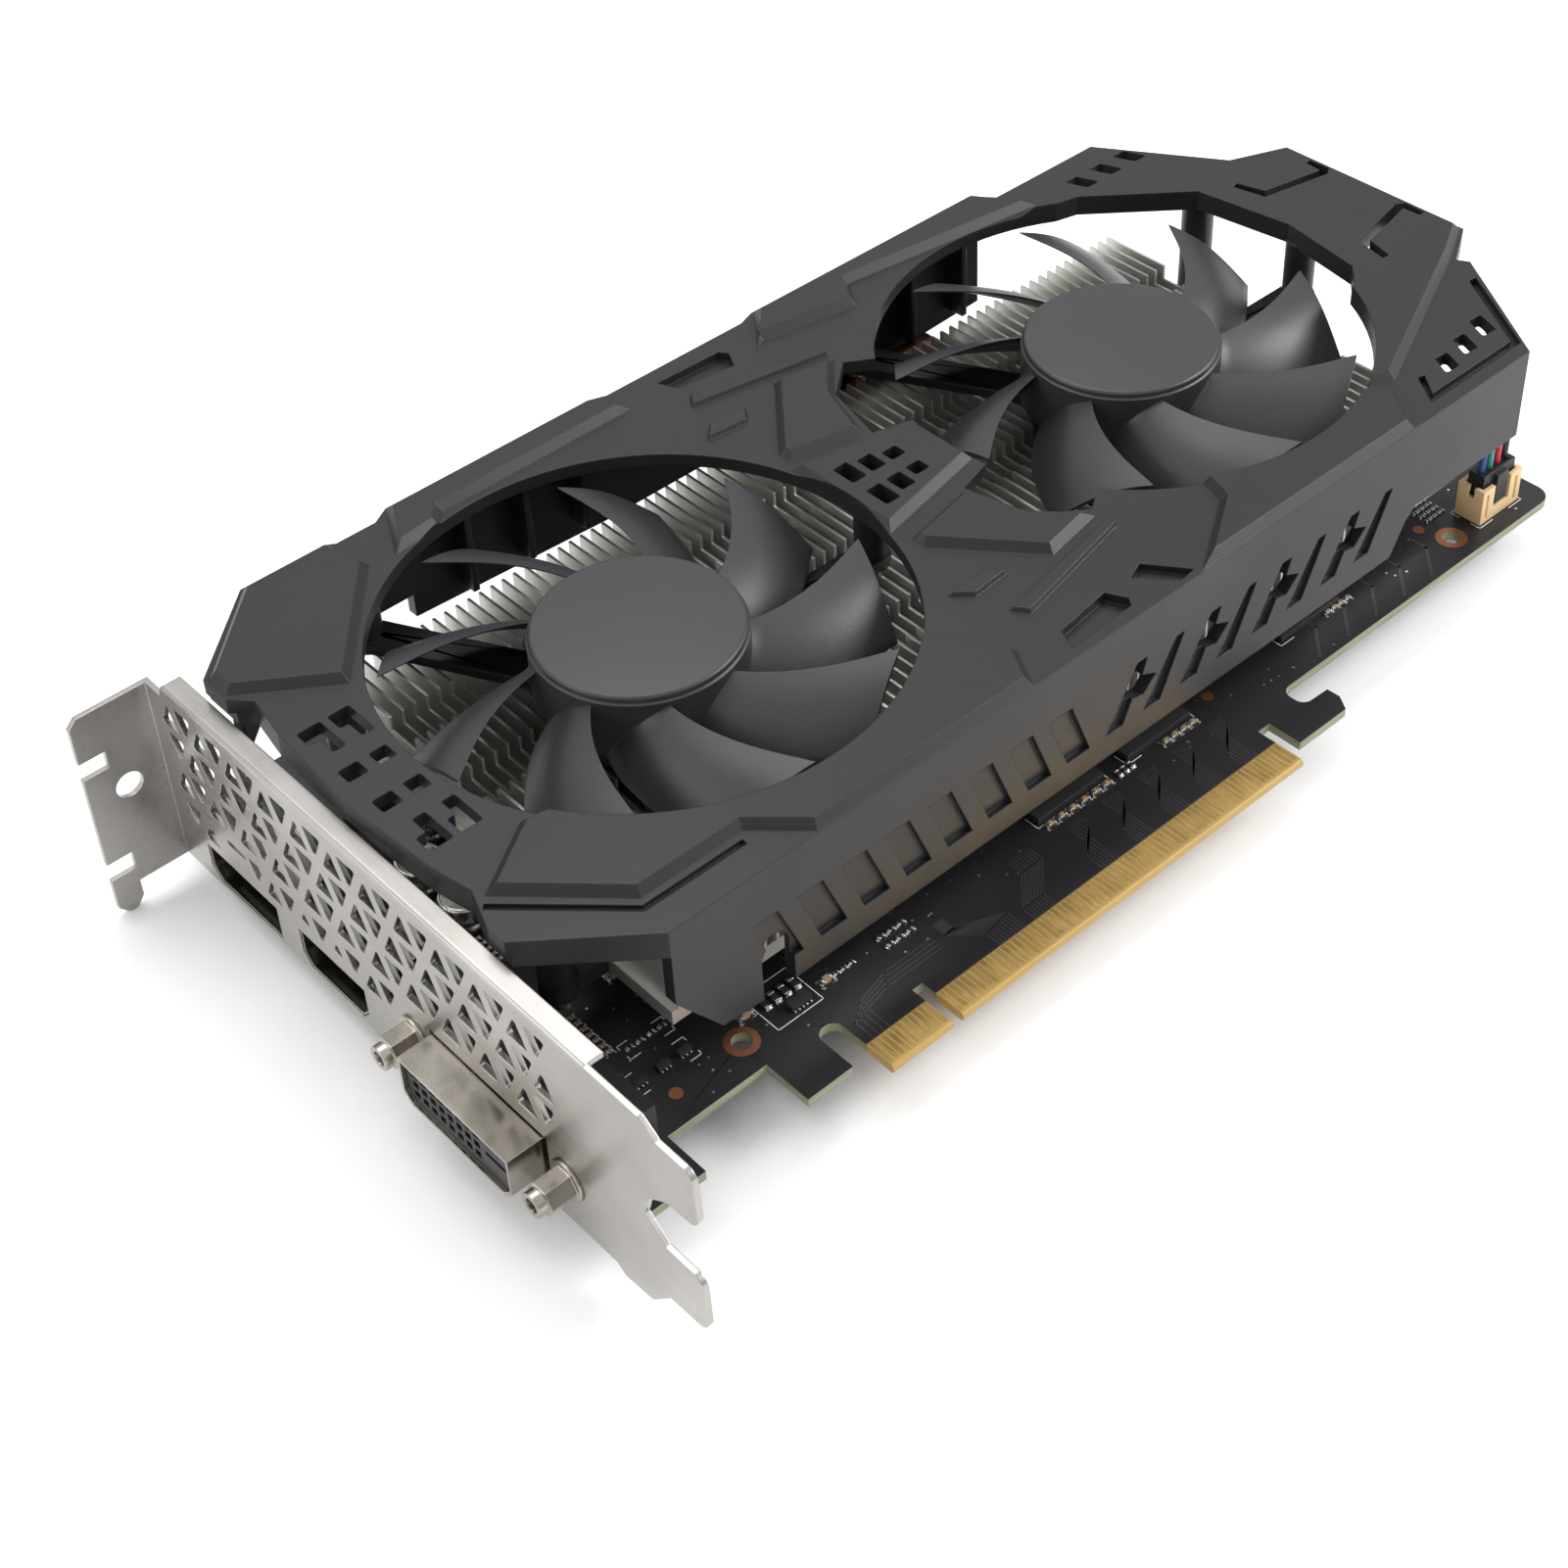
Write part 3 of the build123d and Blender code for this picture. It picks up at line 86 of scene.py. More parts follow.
# ------------------------------------------------------------------ shader helpers
class Shader:
    """A node material under construction; coordinates are object metres."""

    def __init__(self, name):
        self.material = bpy.data.materials.new(name)
        self.material.use_nodes = True
        self.tree = self.material.node_tree
        self.tree.nodes.clear()
        self.surface = self.tree.nodes.new("ShaderNodeBsdfPrincipled")
        output = self.tree.nodes.new("ShaderNodeOutputMaterial")
        self.tree.links.new(self.surface.outputs["BSDF"], output.inputs["Surface"])
        self.coordinates = self.tree.nodes.new("ShaderNodeTexCoord")

    def set(self, **values):
        for key, value in values.items():
            self.surface.inputs[key.replace("_", " ")].default_value = value
        return self

    def link(self, source, target):
        self.tree.links.new(source, target)

    def stretched(self, scale):
        """Object coordinates scaled per axis."""
        mapping = self.tree.nodes.new("ShaderNodeMapping")
        mapping.inputs["Scale"].default_value = scale
        self.link(self.coordinates.outputs["Object"], mapping.inputs["Vector"])
        return mapping.outputs["Vector"]

    def noise(self, scale, detail=3.0, rough=0.55, stretch=(1, 1, 1)):
        node = self.tree.nodes.new("ShaderNodeTexNoise")
        node.inputs["Scale"].default_value = scale
        node.inputs["Detail"].default_value = detail
        node.inputs["Roughness"].default_value = rough
        self.link(self.stretched(stretch), node.inputs["Vector"])
        return node.outputs["Fac"]

    def voronoi(self, scale, stretch=(1, 1, 1)):
        node = self.tree.nodes.new("ShaderNodeTexVoronoi")
        node.inputs["Scale"].default_value = scale
        self.link(self.stretched(stretch), node.inputs["Vector"])
        return node.outputs["Distance"]

    def spread(self, value, low_in, high_in, low_out, high_out):
        node = self.tree.nodes.new("ShaderNodeMapRange")
        node.inputs["From Min"].default_value = low_in
        node.inputs["From Max"].default_value = high_in
        node.inputs["To Min"].default_value = low_out
        node.inputs["To Max"].default_value = high_out
        self.link(value, node.inputs["Value"])
        return node.outputs["Result"]

    def two_colours(self, value, first, second):
        node = self.tree.nodes.new("ShaderNodeMix")
        node.data_type = "RGBA"
        colours = [s for s in node.inputs if s.type == "RGBA"]
        for socket, colour in zip(colours, (first, second)):
            if isinstance(colour, tuple):
                socket.default_value = (*colour, 1.0)
            else:
                self.link(colour, socket)
        self.link(value, node.inputs["Factor"])
        return [s for s in node.outputs if s.type == "RGBA"][0]

    def multiply(self, first, second):
        node = self.tree.nodes.new("ShaderNodeMath")
        node.operation = "MULTIPLY"
        self.link(first, node.inputs[0])
        if isinstance(second, (int, float)):
            node.inputs[1].default_value = second
        else:
            self.link(second, node.inputs[1])
        return node.outputs[0]

    def add(self, first, second):
        node = self.tree.nodes.new("ShaderNodeMath")
        node.operation = "ADD"
        self.link(first, node.inputs[0])
        self.link(second, node.inputs[1])
        return node.outputs[0]

    def facing_up(self, low=0.5, high=0.8):
        """1 on faces that look up or down, 0 on side faces."""
        geometry = self.tree.nodes.new("ShaderNodeNewGeometry")
        split = self.tree.nodes.new("ShaderNodeSeparateXYZ")
        self.link(geometry.outputs["True Normal"], split.inputs["Vector"])
        size = self.tree.nodes.new("ShaderNodeMath")
        size.operation = "ABSOLUTE"
        self.link(split.outputs["Z"], size.inputs[0])
        return self.spread(size.outputs[0], low, high, 0.0, 1.0)

    def colour(self, socket):
        self.link(socket, self.surface.inputs["Base Color"])
        return self

    def roughness(self, socket):
        self.link(socket, self.surface.inputs["Roughness"])
        return self

    def bump(self, height, distance_mm, strength=1.0, round_mm=0.0):
        """Fine relief; round_mm also softens the look of sharp edges without moving any vertex."""
        node = self.tree.nodes.new("ShaderNodeBump")
        if round_mm:
            edge = self.tree.nodes.new("ShaderNodeBevel")
            edge.samples = 6
            edge.inputs["Radius"].default_value = round_mm * MM
            self.link(edge.outputs["Normal"], node.inputs["Normal"])
        node.inputs["Strength"].default_value = strength
        node.inputs["Distance"].default_value = distance_mm * MM
        self.link(height, node.inputs["Height"])
        self.link(node.outputs["Normal"], self.surface.inputs["Normal"])
        return self


# ------------------------------------------------------------------ materials
def moulded_plastic(
    name, dark, light, rough_low, rough_high, grain=2600.0, depth=0.012, shine=0.34, round_mm=0.0
):
    """Spark-eroded moulded plastic: fine grain, cloudy gloss."""
    s = Shader(name)
    s.colour(s.two_colours(s.noise(38.0, 4.0), dark, light))
    cloudy = s.noise(22.0, 5.0)
    s.roughness(s.spread(cloudy, 0.35, 0.65, rough_low, rough_high))
    grains = s.add(s.noise(grain, 2.0), s.multiply(s.voronoi(grain * 0.8), 0.6))
    s.bump(grains, depth, round_mm=round_mm)
    s.set(Specular_IOR_Level=shine)
    return s.material


def metal(
    name, dark, light, rough_low, rough_high, stretch=(1, 1, 1), line_scale=900.0, depth=0.004,
    metallic=1.0, round_mm=0.0
):
    """Metal with drawn or rolled lines along the axis that stretch keeps small."""
    s = Shader(name)
    lines = s.noise(line_scale, 4.0, 0.6, stretch)
    patches = s.noise(45.0, 4.0)
    s.colour(s.two_colours(s.spread(patches, 0.3, 0.7, 0.0, 1.0), dark, light))
    s.roughness(s.spread(s.add(lines, patches), 0.6, 1.4, rough_low, rough_high))
    s.bump(lines, depth, round_mm=round_mm)
    s.set(Metallic=metallic)
    return s.material


CONTACT_ZONE_X = (-12.4, 72.4)
CONTACT_ZONE_TOP = 5.35
ZONE_FADE = 0.2
ZONE_TOP_FADE = 0.15


def board_material():
    """Black solder mask on the faces, bare laminate round the contacts and on the cut edges."""
    s = Shader("board")
    mask = s.two_colours(s.noise(30.0, 3.0), (0.011, 0.011, 0.0125), (0.018, 0.018, 0.0195))
    fibre = s.noise(700.0, 3.0, 0.6, (0.15, 0.15, 6.0))
    edge = s.two_colours(s.spread(fibre, 0.3, 0.7, 0.0, 1.0), (0.13, 0.14, 0.085), (0.30, 0.31, 0.20))
    bare = s.two_colours(fibre, (0.34, 0.21, 0.06), (0.50, 0.33, 0.11))
    split = s.tree.nodes.new("ShaderNodeSeparateXYZ")
    s.link(s.coordinates.outputs["Object"], split.inputs["Vector"])
    left, right = CONTACT_ZONE_X
    below_top = s.spread(
        split.outputs["Y"], (CONTACT_ZONE_TOP - ZONE_TOP_FADE) * MM, (CONTACT_ZONE_TOP + ZONE_TOP_FADE) * MM,
        1.0, 0.0,
    )
    past_left = s.spread(split.outputs["X"], (left - ZONE_FADE) * MM, (left + ZONE_FADE) * MM, 0.0, 1.0)
    before_right = s.spread(split.outputs["X"], (right - ZONE_FADE) * MM, (right + ZONE_FADE) * MM, 1.0, 0.0)
    among_contacts = s.multiply(s.multiply(below_top, past_left), before_right)
    face = s.two_colours(among_contacts, mask, bare)
    side = s.two_colours(among_contacts, edge, bare)
    s.colour(s.two_colours(s.facing_up(), side, face))
    weave = s.voronoi(1500.0)
    s.roughness(s.spread(s.noise(26.0, 4.0), 0.3, 0.7, 0.30, 0.42))
    s.bump(s.add(weave, s.noise(500.0, 2.0)), 0.006)
    s.set(Specular_IOR_Level=0.36)
    return s.material


def trace_material():
    s = Shader("mask_over_trace")
    s.colour(s.two_colours(s.noise(200.0, 2.0), (0.026, 0.026, 0.030), (0.038, 0.038, 0.043)))
    s.roughness(s.spread(s.noise(300.0, 3.0), 0.3, 0.7, 0.26, 0.36))
    s.bump(s.noise(900.0, 2.0), 0.004)
    return s.material


def gold_material():
    s = Shader("gold")
    along = s.noise(500.0, 3.0, 0.6, (5.0, 0.4, 1.0))
    s.colour(s.two_colours(s.spread(along, 0.3, 0.7, 0.0, 1.0), (0.62, 0.40, 0.13), (0.88, 0.62, 0.25)))
    s.roughness(s.spread(s.noise(300.0, 4.0), 0.3, 0.7, 0.28, 0.46))
    s.bump(along, 0.006)
    s.set(Metallic=1.0)
    return s.material


def silk_material():
    s = Shader("silkscreen_ink")
    s.colour(s.two_colours(s.noise(2500.0, 3.0), (0.52, 0.52, 0.50), (0.80, 0.80, 0.78)))
    s.roughness(s.spread(s.noise(900.0, 2.0), 0.3, 0.7, 0.5, 0.7))
    s.bump(s.noise(3000.0, 2.0), 0.006)
    return s.material


def solder_material():
    s = Shader("solder")
    s.colour(s.two_colours(s.noise(900.0, 3.0), (0.62, 0.62, 0.60), (0.85, 0.85, 0.83)))
    s.roughness(s.spread(s.noise(1500.0, 3.0), 0.3, 0.7, 0.16, 0.34))
    s.bump(s.noise(1600.0, 2.0), 0.02)
    s.set(Metallic=1.0)
    return s.material


def die_material():
    s = Shader("die")
    s.colour(s.two_colours(s.voronoi(900.0), (0.16, 0.17, 0.21), (0.28, 0.29, 0.34)))
    s.roughness(s.spread(s.noise(200.0, 2.0), 0.3, 0.7, 0.06, 0.12))
    s.bump(s.noise(60.0, 1.0), 0.003)
    s.set(Metallic=0.8)
    return s.material


def stator_material():
    """Stacked laminations under brown varnish."""
    s = Shader("stator")
    layers = s.noise(900.0, 2.0, 0.5, (0.05, 0.05, 3.0))
    s.colour(s.two_colours(layers, (0.18, 0.07, 0.03), (0.34, 0.16, 0.07)))
    s.roughness(s.spread(s.noise(300.0, 2.0), 0.3, 0.7, 0.3, 0.5))
    s.bump(layers, 0.03)
    return s.material


def vinyl(name, colour):
    s = Shader(name)
    lighter = tuple(min(1.0, c * 1.35 + 0.004) for c in colour)
    s.colour(s.two_colours(s.noise(400.0, 3.0), colour, lighter))
    s.roughness(s.spread(s.noise(500.0, 3.0), 0.3, 0.7, 0.32, 0.46))
    s.bump(s.noise(1400.0, 2.0), 0.006)
    return s.material


def floor_material():
    s = Shader("floor")
    s.colour(s.two_colours(s.noise(3.0, 2.0), (0.93, 0.93, 0.93), (0.95, 0.95, 0.95)))
    s.roughness(s.spread(s.noise(8.0, 2.0), 0.3, 0.7, 0.85, 0.95))
    return s.material


SHROUD = moulded_plastic(
    "shroud_plastic", (0.012, 0.012, 0.0135), (0.017, 0.017, 0.019), 0.33, 0.44, round_mm=0.30
)
FAN = moulded_plastic(
    "fan_plastic", (0.022, 0.022, 0.0245), (0.029, 0.029, 0.032), 0.33, 0.42, 5200.0, 0.016, 0.50, 0.15
)
EAR_COATING = moulded_plastic("dark_coating", (0.012, 0.012, 0.012), (0.018, 0.018, 0.018), 0.5, 0.6)
NICKEL = metal(
    "nickel_sheet", (0.36, 0.345, 0.325), (0.47, 0.455, 0.435), 0.22, 0.38, (1.0, 0.04, 1.0), 1100.0, 0.004,
    round_mm=0.25
)
PORT_METAL = metal(
    "port_shell", (0.24, 0.22, 0.19), (0.54, 0.51, 0.46), 0.14, 0.34, (0.2, 1, 1), 700.0, 0.006
)
FIN = metal(
    "fin_aluminium", (0.62, 0.62, 0.58), (0.80, 0.80, 0.76), 0.34, 0.52, (1, 0.06, 1), 1500.0, 0.006, 0.85
)
COPPER = metal("copper", (0.36, 0.15, 0.08), (0.52, 0.23, 0.13), 0.30, 0.46, (1, 1, 1), 900.0, 0.006)
PIPE_COPPER = metal(
    "aged_copper", (0.10, 0.055, 0.038), (0.20, 0.10, 0.065), 0.34, 0.52, (1, 1, 1), 900.0, 0.008
)
STEEL = metal("screw_steel", (0.42, 0.42, 0.42), (0.58, 0.58, 0.57), 0.25, 0.40, (1, 1, 1), 1500.0, 0.005)
CAN = metal("can_metal", (0.74, 0.73, 0.69), (0.88, 0.87, 0.83), 0.20, 0.32, (1, 1, 1), 1800.0, 0.004)
MAGNET = metal("magnet_grey", (0.10, 0.10, 0.10), (0.17, 0.17, 0.17), 0.45, 0.65, (1, 1, 1), 1500.0, 0.012)
BLACK_PORT = moulded_plastic(
    "port_black", (0.012, 0.012, 0.013), (0.020, 0.020, 0.022), 0.35, 0.5, 2000.0, 0.008
)
CHIP = moulded_plastic("chip_black", (0.018, 0.018, 0.019), (0.028, 0.028, 0.029), 0.5, 0.65, 3500.0, 0.014)
CHOKE = moulded_plastic("choke_grey", (0.10, 0.10, 0.105), (0.17, 0.17, 0.175), 0.5, 0.7, 1800.0, 0.03)
PACKAGE = moulded_plastic("package_green", (0.02, 0.075, 0.035), (0.03, 0.10, 0.05), 0.3, 0.4, 1500.0, 0.004)
CERAMIC = moulded_plastic("ceramic_tan", (0.30, 0.20, 0.11), (0.42, 0.29, 0.17), 0.4, 0.55, 2500.0, 0.01)
CREAM = moulded_plastic("header_cream", (0.62, 0.43, 0.22), (0.74, 0.54, 0.30), 0.38, 0.5, 1500.0, 0.006)
BOARD = board_material()
TRACE = trace_material()
GOLD = gold_material()
SILK = silk_material()
SOLDER = solder_material()
DIE = die_material()
STATOR = stator_material()
BLUE_WIRE = vinyl("lead_blue", (0.012, 0.04, 0.16))
GREEN_WIRE = vinyl("lead_green", (0.01, 0.20, 0.17))
RED_WIRE = vinyl("lead_red", (0.42, 0.014, 0.03))
BLACK_WIRE = vinyl("lead_black", (0.012, 0.012, 0.012))

CARRIED_OVER = {
    "circuit_board": BOARD, "edge_contacts": GOLD, "copper_rings": COPPER, "slot_bracket": NICKEL,
    "hdmi_shell": PORT_METAL, "hdmi_tongue": BLACK_PORT, "displayport_shell": PORT_METAL,
    "displayport_tongue": BLACK_PORT, "dvi_shell": PORT_METAL, "dvi_insert": BLACK_PORT,
    "dvi_jack_screws": PORT_METAL, "gpu_package": PACKAGE, "gpu_die": DIE, "memory_chips": CHIP,
    "power_chokes": CHOKE, "power_transistors": CHIP, "capacitor_bases": CHIP, "capacitor_cans": CAN,
    "chip_capacitors": CERAMIC, "chip_resistors": CHIP, "small_chips": CHIP, "fan_header": CREAM,
    "fan_header_pins": GOLD, "fan_plug": BLACK_PORT, "fan_lead_blue": BLUE_WIRE,
    "fan_lead_green": GREEN_WIRE, "fan_lead_red": RED_WIRE, "fan_lead_black": BLACK_WIRE,
    "contact_block": COPPER, "heatsink_base": FIN, "heatsink_fins": FIN, "heat_pipe": PIPE_COPPER,
    "cooler_screws": STEEL, "cooler_springs": STEEL, "shroud": SHROUD, "shroud_screws": STEEL,
    "fan_screws": STEEL,
}
for side in ("left", "right"):
    CARRIED_OVER["fan_" + side + "_rotor"] = FAN
    CARRIED_OVER["fan_" + side + "_frame"] = SHROUD
    CARRIED_OVER["fan_" + side + "_shaft"] = STEEL
    CARRIED_OVER["fan_" + side + "_bearing"] = GOLD
    CARRIED_OVER["fan_" + side + "_stator"] = STATOR
    CARRIED_OVER["fan_" + side + "_magnet_ring"] = MAGNET


# ------------------------------------------------------------------ carried-over CAD nodes
BEVELS_MM = {
    "circuit_board": 0.10,
    "fan_left_frame": 0.2, "fan_right_frame": 0.2, "dvi_shell": 0.05, "dvi_insert": 0.08,
    "fan_header": 0.10, "fan_plug": 0.12, "memory_chips": 0.08, "power_transistors": 0.08,
    "power_chokes": 0.25, "capacitor_bases": 0.1, "small_chips": 0.06, "dvi_jack_screws": 0.12,
    "hdmi_tongue": 0.08, "displayport_tongue": 0.08, "hdmi_shell": 0.06, "displayport_shell": 0.06,
    "heatsink_fins": 0.09,
}
SHARP = math.radians(28)


def soften(obj, width_mm, segments=2):
    """Welds the split corners and rounds the sharp edges."""
    weld = obj.modifiers.new("weld", "WELD")
    weld.merge_threshold = 1e-6
    bevel = obj.modifiers.new("bevel", "BEVEL")
    bevel.width = width_mm * MM
    bevel.segments = segments
    bevel.limit_method = "ANGLE"
    bevel.angle_limit = SHARP
    bevel.use_clamp_overlap = False
    even = obj.modifiers.new("even", "WEIGHTED_NORMAL")
    even.keep_sharp = False


for name, material in CARRIED_OVER.items():
    mesh = nodes[name].data
    mesh.materials.clear()
    mesh.materials.append(material)
    if name in BEVELS_MM:
        mesh.attributes.remove(mesh.attributes["custom_normal"])
        mesh.shade_smooth()
for name, width in BEVELS_MM.items():
    soften(nodes[name], width)


FIN_STACK_X = (-31.6, 136.6)


def coat_ears():
    """The ears that stick out of the cooler base past the fins are coated dark."""
    mesh = nodes["heatsink_base"].data
    mesh.materials.append(EAR_COATING)
    for face in mesh.polygons:
        x = face.center.x / MM
        if x < FIN_STACK_X[0] or x > FIN_STACK_X[1]:
            face.material_index = 1


coat_ears()


# ------------------------------------------------------------------ mesh building
class Kit:
    """One mesh piece under construction, in millimetres; each face has a material number."""

    def __init__(self):
        self.points = []
        self.faces = []
        self.looks = []

    def face(self, corners, look=0):
        self.faces.append(corners)
        self.looks.append(look)

    def prism(self, outline, z0, z1, look=0):
        """Upright block with a polygon outline listed anticlockwise."""
        first = len(self.points)
        count = len(outline)
        self.points += [(x, y, z0) for x, y in outline]
        self.points += [(x, y, z1) for x, y in outline]
        self.face([first + k for k in reversed(range(count))], look)
        self.face([first + count + k for k in range(count)], look)
        for k in range(count):
            after = (k + 1) % count
            self.face([first + k, first + after, first + count + after, first + count + k], look)

    def box(self, low, high, look=0):
        outline = [(low[0], low[1]), (high[0], low[1]), (high[0], high[1]), (low[0], high[1])]
        self.prism(outline, low[2], high[2], look)

    def loft(self, rings, look=0):
        """Closed skin over rings that all have the same number of points."""
        first = len(self.points)
        count = len(rings[0])
        for ring in rings:
            self.points += ring
        for row in range(len(rings) - 1):
            for k in range(count):
                a = first + row * count + k
                b = first + row * count + (k + 1) % count
                self.face([a, b, b + count, a + count], look)
        self.face([first + k for k in reversed(range(count))], look)
        last = first + (len(rings) - 1) * count
        self.face([last + k for k in range(count)], look)

    def lathe(self, x, y, profile, steps, look=0):
        """Solid of revolution about an upright axis; the profile is a closed loop of (radius, z)."""
        first = len(self.points)
        count = len(profile)
        for step in range(steps):
            angle = 2 * math.pi * step / steps
            self.points += [(x + r * math.cos(angle), y + r * math.sin(angle), z) for r, z in profile]
        for step in range(steps):
            here = first + step * count
            there = first + (step + 1) % steps * count
            for k in range(count):
                after = (k + 1) % count
                self.face([here + k, there + k, there + after, here + after], look)

    def line(self, start, end, width, z0, z1, look=0):
        """Flat bar along a straight line."""
        (x0, y0), (x1, y1) = start, end
        length = math.hypot(x1 - x0, y1 - y0)
        along = ((x1 - x0) / length * width / 2, (y1 - y0) / length * width / 2)
        across = (-along[1], along[0])
        a = (x0 - along[0], y0 - along[1])
        b = (x1 + along[0], y1 + along[1])
        outline = [
            (a[0] - across[0], a[1] - across[1]),
            (b[0] - across[0], b[1] - across[1]),
            (b[0] + across[0], b[1] + across[1]),
            (a[0] + across[0], a[1] + across[1]),
        ]
        self.prism(outline, z0, z1, look)

    def build(self, name, materials, body="card", stands_for=()):
        mesh = bpy.data.meshes.new(name)
        mesh.from_pydata([(x * MM, y * MM, z * MM) for x, y, z in self.points], [], self.faces)
        for material in materials:
            mesh.materials.append(material)
        mesh.polygons.foreach_set("material_index", self.looks)
        clean = bmesh.new()
        clean.from_mesh(mesh)
        bmesh.ops.remove_doubles(clean, verts=clean.verts, dist=1e-7)
        bmesh.ops.recalc_face_normals(clean, faces=clean.faces)
        clean.to_mesh(mesh)
        clean.free()
        piece = bpy.data.objects.new(name, mesh)
        scene.collection.objects.link(piece)
        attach(piece, body)
        if stands_for:
            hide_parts(*stands_for)
        return piece


def solid_boxes(node):
    """Lowest and highest corners, in mm, of the separate solids in a CAD node."""
    shape = bmesh.new()
    shape.from_mesh(nodes[node].data)
    bmesh.ops.remove_doubles(shape, verts=shape.verts, dist=1e-6)
    shape.verts.index_update()
    seen = set()
    boxes = []
    for start in shape.verts:
        if start.index in seen:
            continue
        seen.add(start.index)
        waiting = [start]
        corners = []
        while waiting:
            vertex = waiting.pop()
            corners.append(vertex.co / MM)
            for edge in vertex.link_edges:
                other = edge.other_vert(vertex)
                if other.index not in seen:
                    seen.add(other.index)
                    waiting.append(other)
        low = tuple(min(c[axis] for c in corners) for axis in range(3))
        high = tuple(max(c[axis] for c in corners) for axis in range(3))
        boxes.append((low, high))
    shape.free()
    return sorted(boxes)


# ------------------------------------------------------------------ fans
AXIS_Y = 60.45
FAN_X = {"left": -2.9, "right": 96.4}
HUB_RADIUS = 15.85
HUB_WALL = 1.4
HUB_TOP = 36.0
HUB_BOTTOM = 25.0
HUB_FLAT_RADIUS = 14.9
HUB_RIM_ROUND = 0.62
HUB_RIM_STEPS = 5
HUB_POST_RADIUS = 3.2
HUB_POST_BOTTOM = HUB_TOP - 3.6
SHAFT_BORE_RADIUS = 1.51
AXIS_GAP = 0.02
BLADE_COUNT = 9
BLADE_RADIUS = 36.75
BLADE_SWEEP = 24.5
BLADE_DROP = (8.6, 8.0)
BLADE_CHORD = (9.4, 15.0)
BLADE_CAMBER = (1.0, 1.6)
BLADE_THICK = (1.7, 1.0)
BLADE_TOP = 34.4
BLADE_PHASE = -10.0
BLADE_BURIED = 0.6
ROOT_FILLET = 0.9
ROOT_FILLET_REACH = 0.7
LENGTH_STEPS = 18
CHORD_STEPS = 14


def between(root_and_tip, s):
    root, tip = root_and_tip
    return root + (tip - root) * s


def blade_ring(s, turn, centre_x):
    """Closed section of a blade at fraction s of its length: top side, then underside."""
    radius = (HUB_RADIUS - BLADE_BURIED) + s * (BLADE_RADIUS - HUB_RADIUS + BLADE_BURIED)
    lead = -BLADE_SWEEP * (1 - s) ** 1.15
    drop = between(BLADE_DROP, s)
    chord = between(BLADE_CHORD, s)
    camber = between(BLADE_CAMBER, s)
    top_z = BLADE_TOP - 0.3 * (1 - s)
    root_fillet = ROOT_FILLET * math.exp(-(radius - HUB_RADIUS + BLADE_BURIED) / ROOT_FILLET_REACH)
    thickness = between(BLADE_THICK, s)
    half_width = chord / radius / 2
    upper = []
    lower = []
    for k in range(CHORD_STEPS + 1):
        t = k / CHORD_STEPS
        arch = math.sin(math.pi * t)
        straight_tip = math.cos(half_width) / math.cos(half_width * (2 * t - 1))
        cut_back = 1 - s ** 5 * (1 - straight_tip)
        angle = math.radians(turn + lead - math.degrees(chord / radius) * t)
        z = top_z - drop * t + camber * arch
        fade = 0.30 + 0.70 * arch ** 0.5
        r = radius * cut_back
        upper.append((centre_x + r * math.cos(angle), AXIS_Y + r * math.sin(angle), z + root_fillet * arch))
        behind = angle - 0.35 * thickness * fade / radius
        under = z - 0.9 * thickness * fade - root_fillet * arch
        lower.append((centre_x + r * math.cos(behind), AXIS_Y + r * math.sin(behind), under))
    return upper + lower[::-1]


def hub_profile():
    """Cup section: flat top with a rounded rim and a shallow step below it, hollow inside."""
    inner = HUB_RADIUS - HUB_WALL
    ceiling = HUB_TOP - HUB_WALL
    rim = []
    for k in range(HUB_RIM_STEPS + 1):
        a = math.pi / 2 * k / HUB_RIM_STEPS
        across = HUB_FLAT_RADIUS + HUB_RIM_ROUND * math.sin(a)
        rim.append((across, HUB_TOP - HUB_RIM_ROUND + HUB_RIM_ROUND * math.cos(a)))
    step = [(15.52, 35.05), (15.60, 34.93), (HUB_RADIUS, 34.80), (HUB_RADIUS, HUB_BOTTOM)]
    cup = [(inner, HUB_BOTTOM), (inner, ceiling)]
    post = [(HUB_POST_RADIUS, ceiling), (HUB_POST_RADIUS, HUB_POST_BOTTOM)]
    bore = [(SHAFT_BORE_RADIUS, HUB_POST_BOTTOM), (SHAFT_BORE_RADIUS, ceiling)]
    middle = [(AXIS_GAP, ceiling), (AXIS_GAP, HUB_TOP)]
    return rim + step + cup + post + bore + middle


def make_rotors():
    for side, centre_x in FAN_X.items():
        kit = Kit()
        kit.lathe(centre_x, AXIS_Y, hub_profile(), 128)
        for blade in range(BLADE_COUNT):
            turn = BLADE_PHASE - blade * 360 / BLADE_COUNT
            kit.loft([blade_ring(k / LENGTH_STEPS, turn, centre_x) for k in range(LENGTH_STEPS + 1)])
        name = "fan_" + side + "_rotor"
        piece = kit.build(name + "_moulding", [FAN], "fan_" + side, [name])
        round_shading(piece, 38)


def round_shading(piece, degrees):
    """Smooth shading with edges sharper than the angle kept crisp."""
    piece.data.shade_smooth()
    piece.data.set_sharp_from_angle(angle=math.radians(degrees))


make_rotors()


# ------------------------------------------------------------------ small parts on the board
BOARD_TOP = 0.785
INK_THICK = 0.02
TRACE_THICK = 0.03
SOLDER_REACH = 0.22
SOLDER_HEIGHT = 0.12
LEAD_LENGTH = 0.3
LEAD_THICK = 0.22
SMALL_CHIP_PITCH = 0.65
TRANSISTOR_PITCH = 1.27


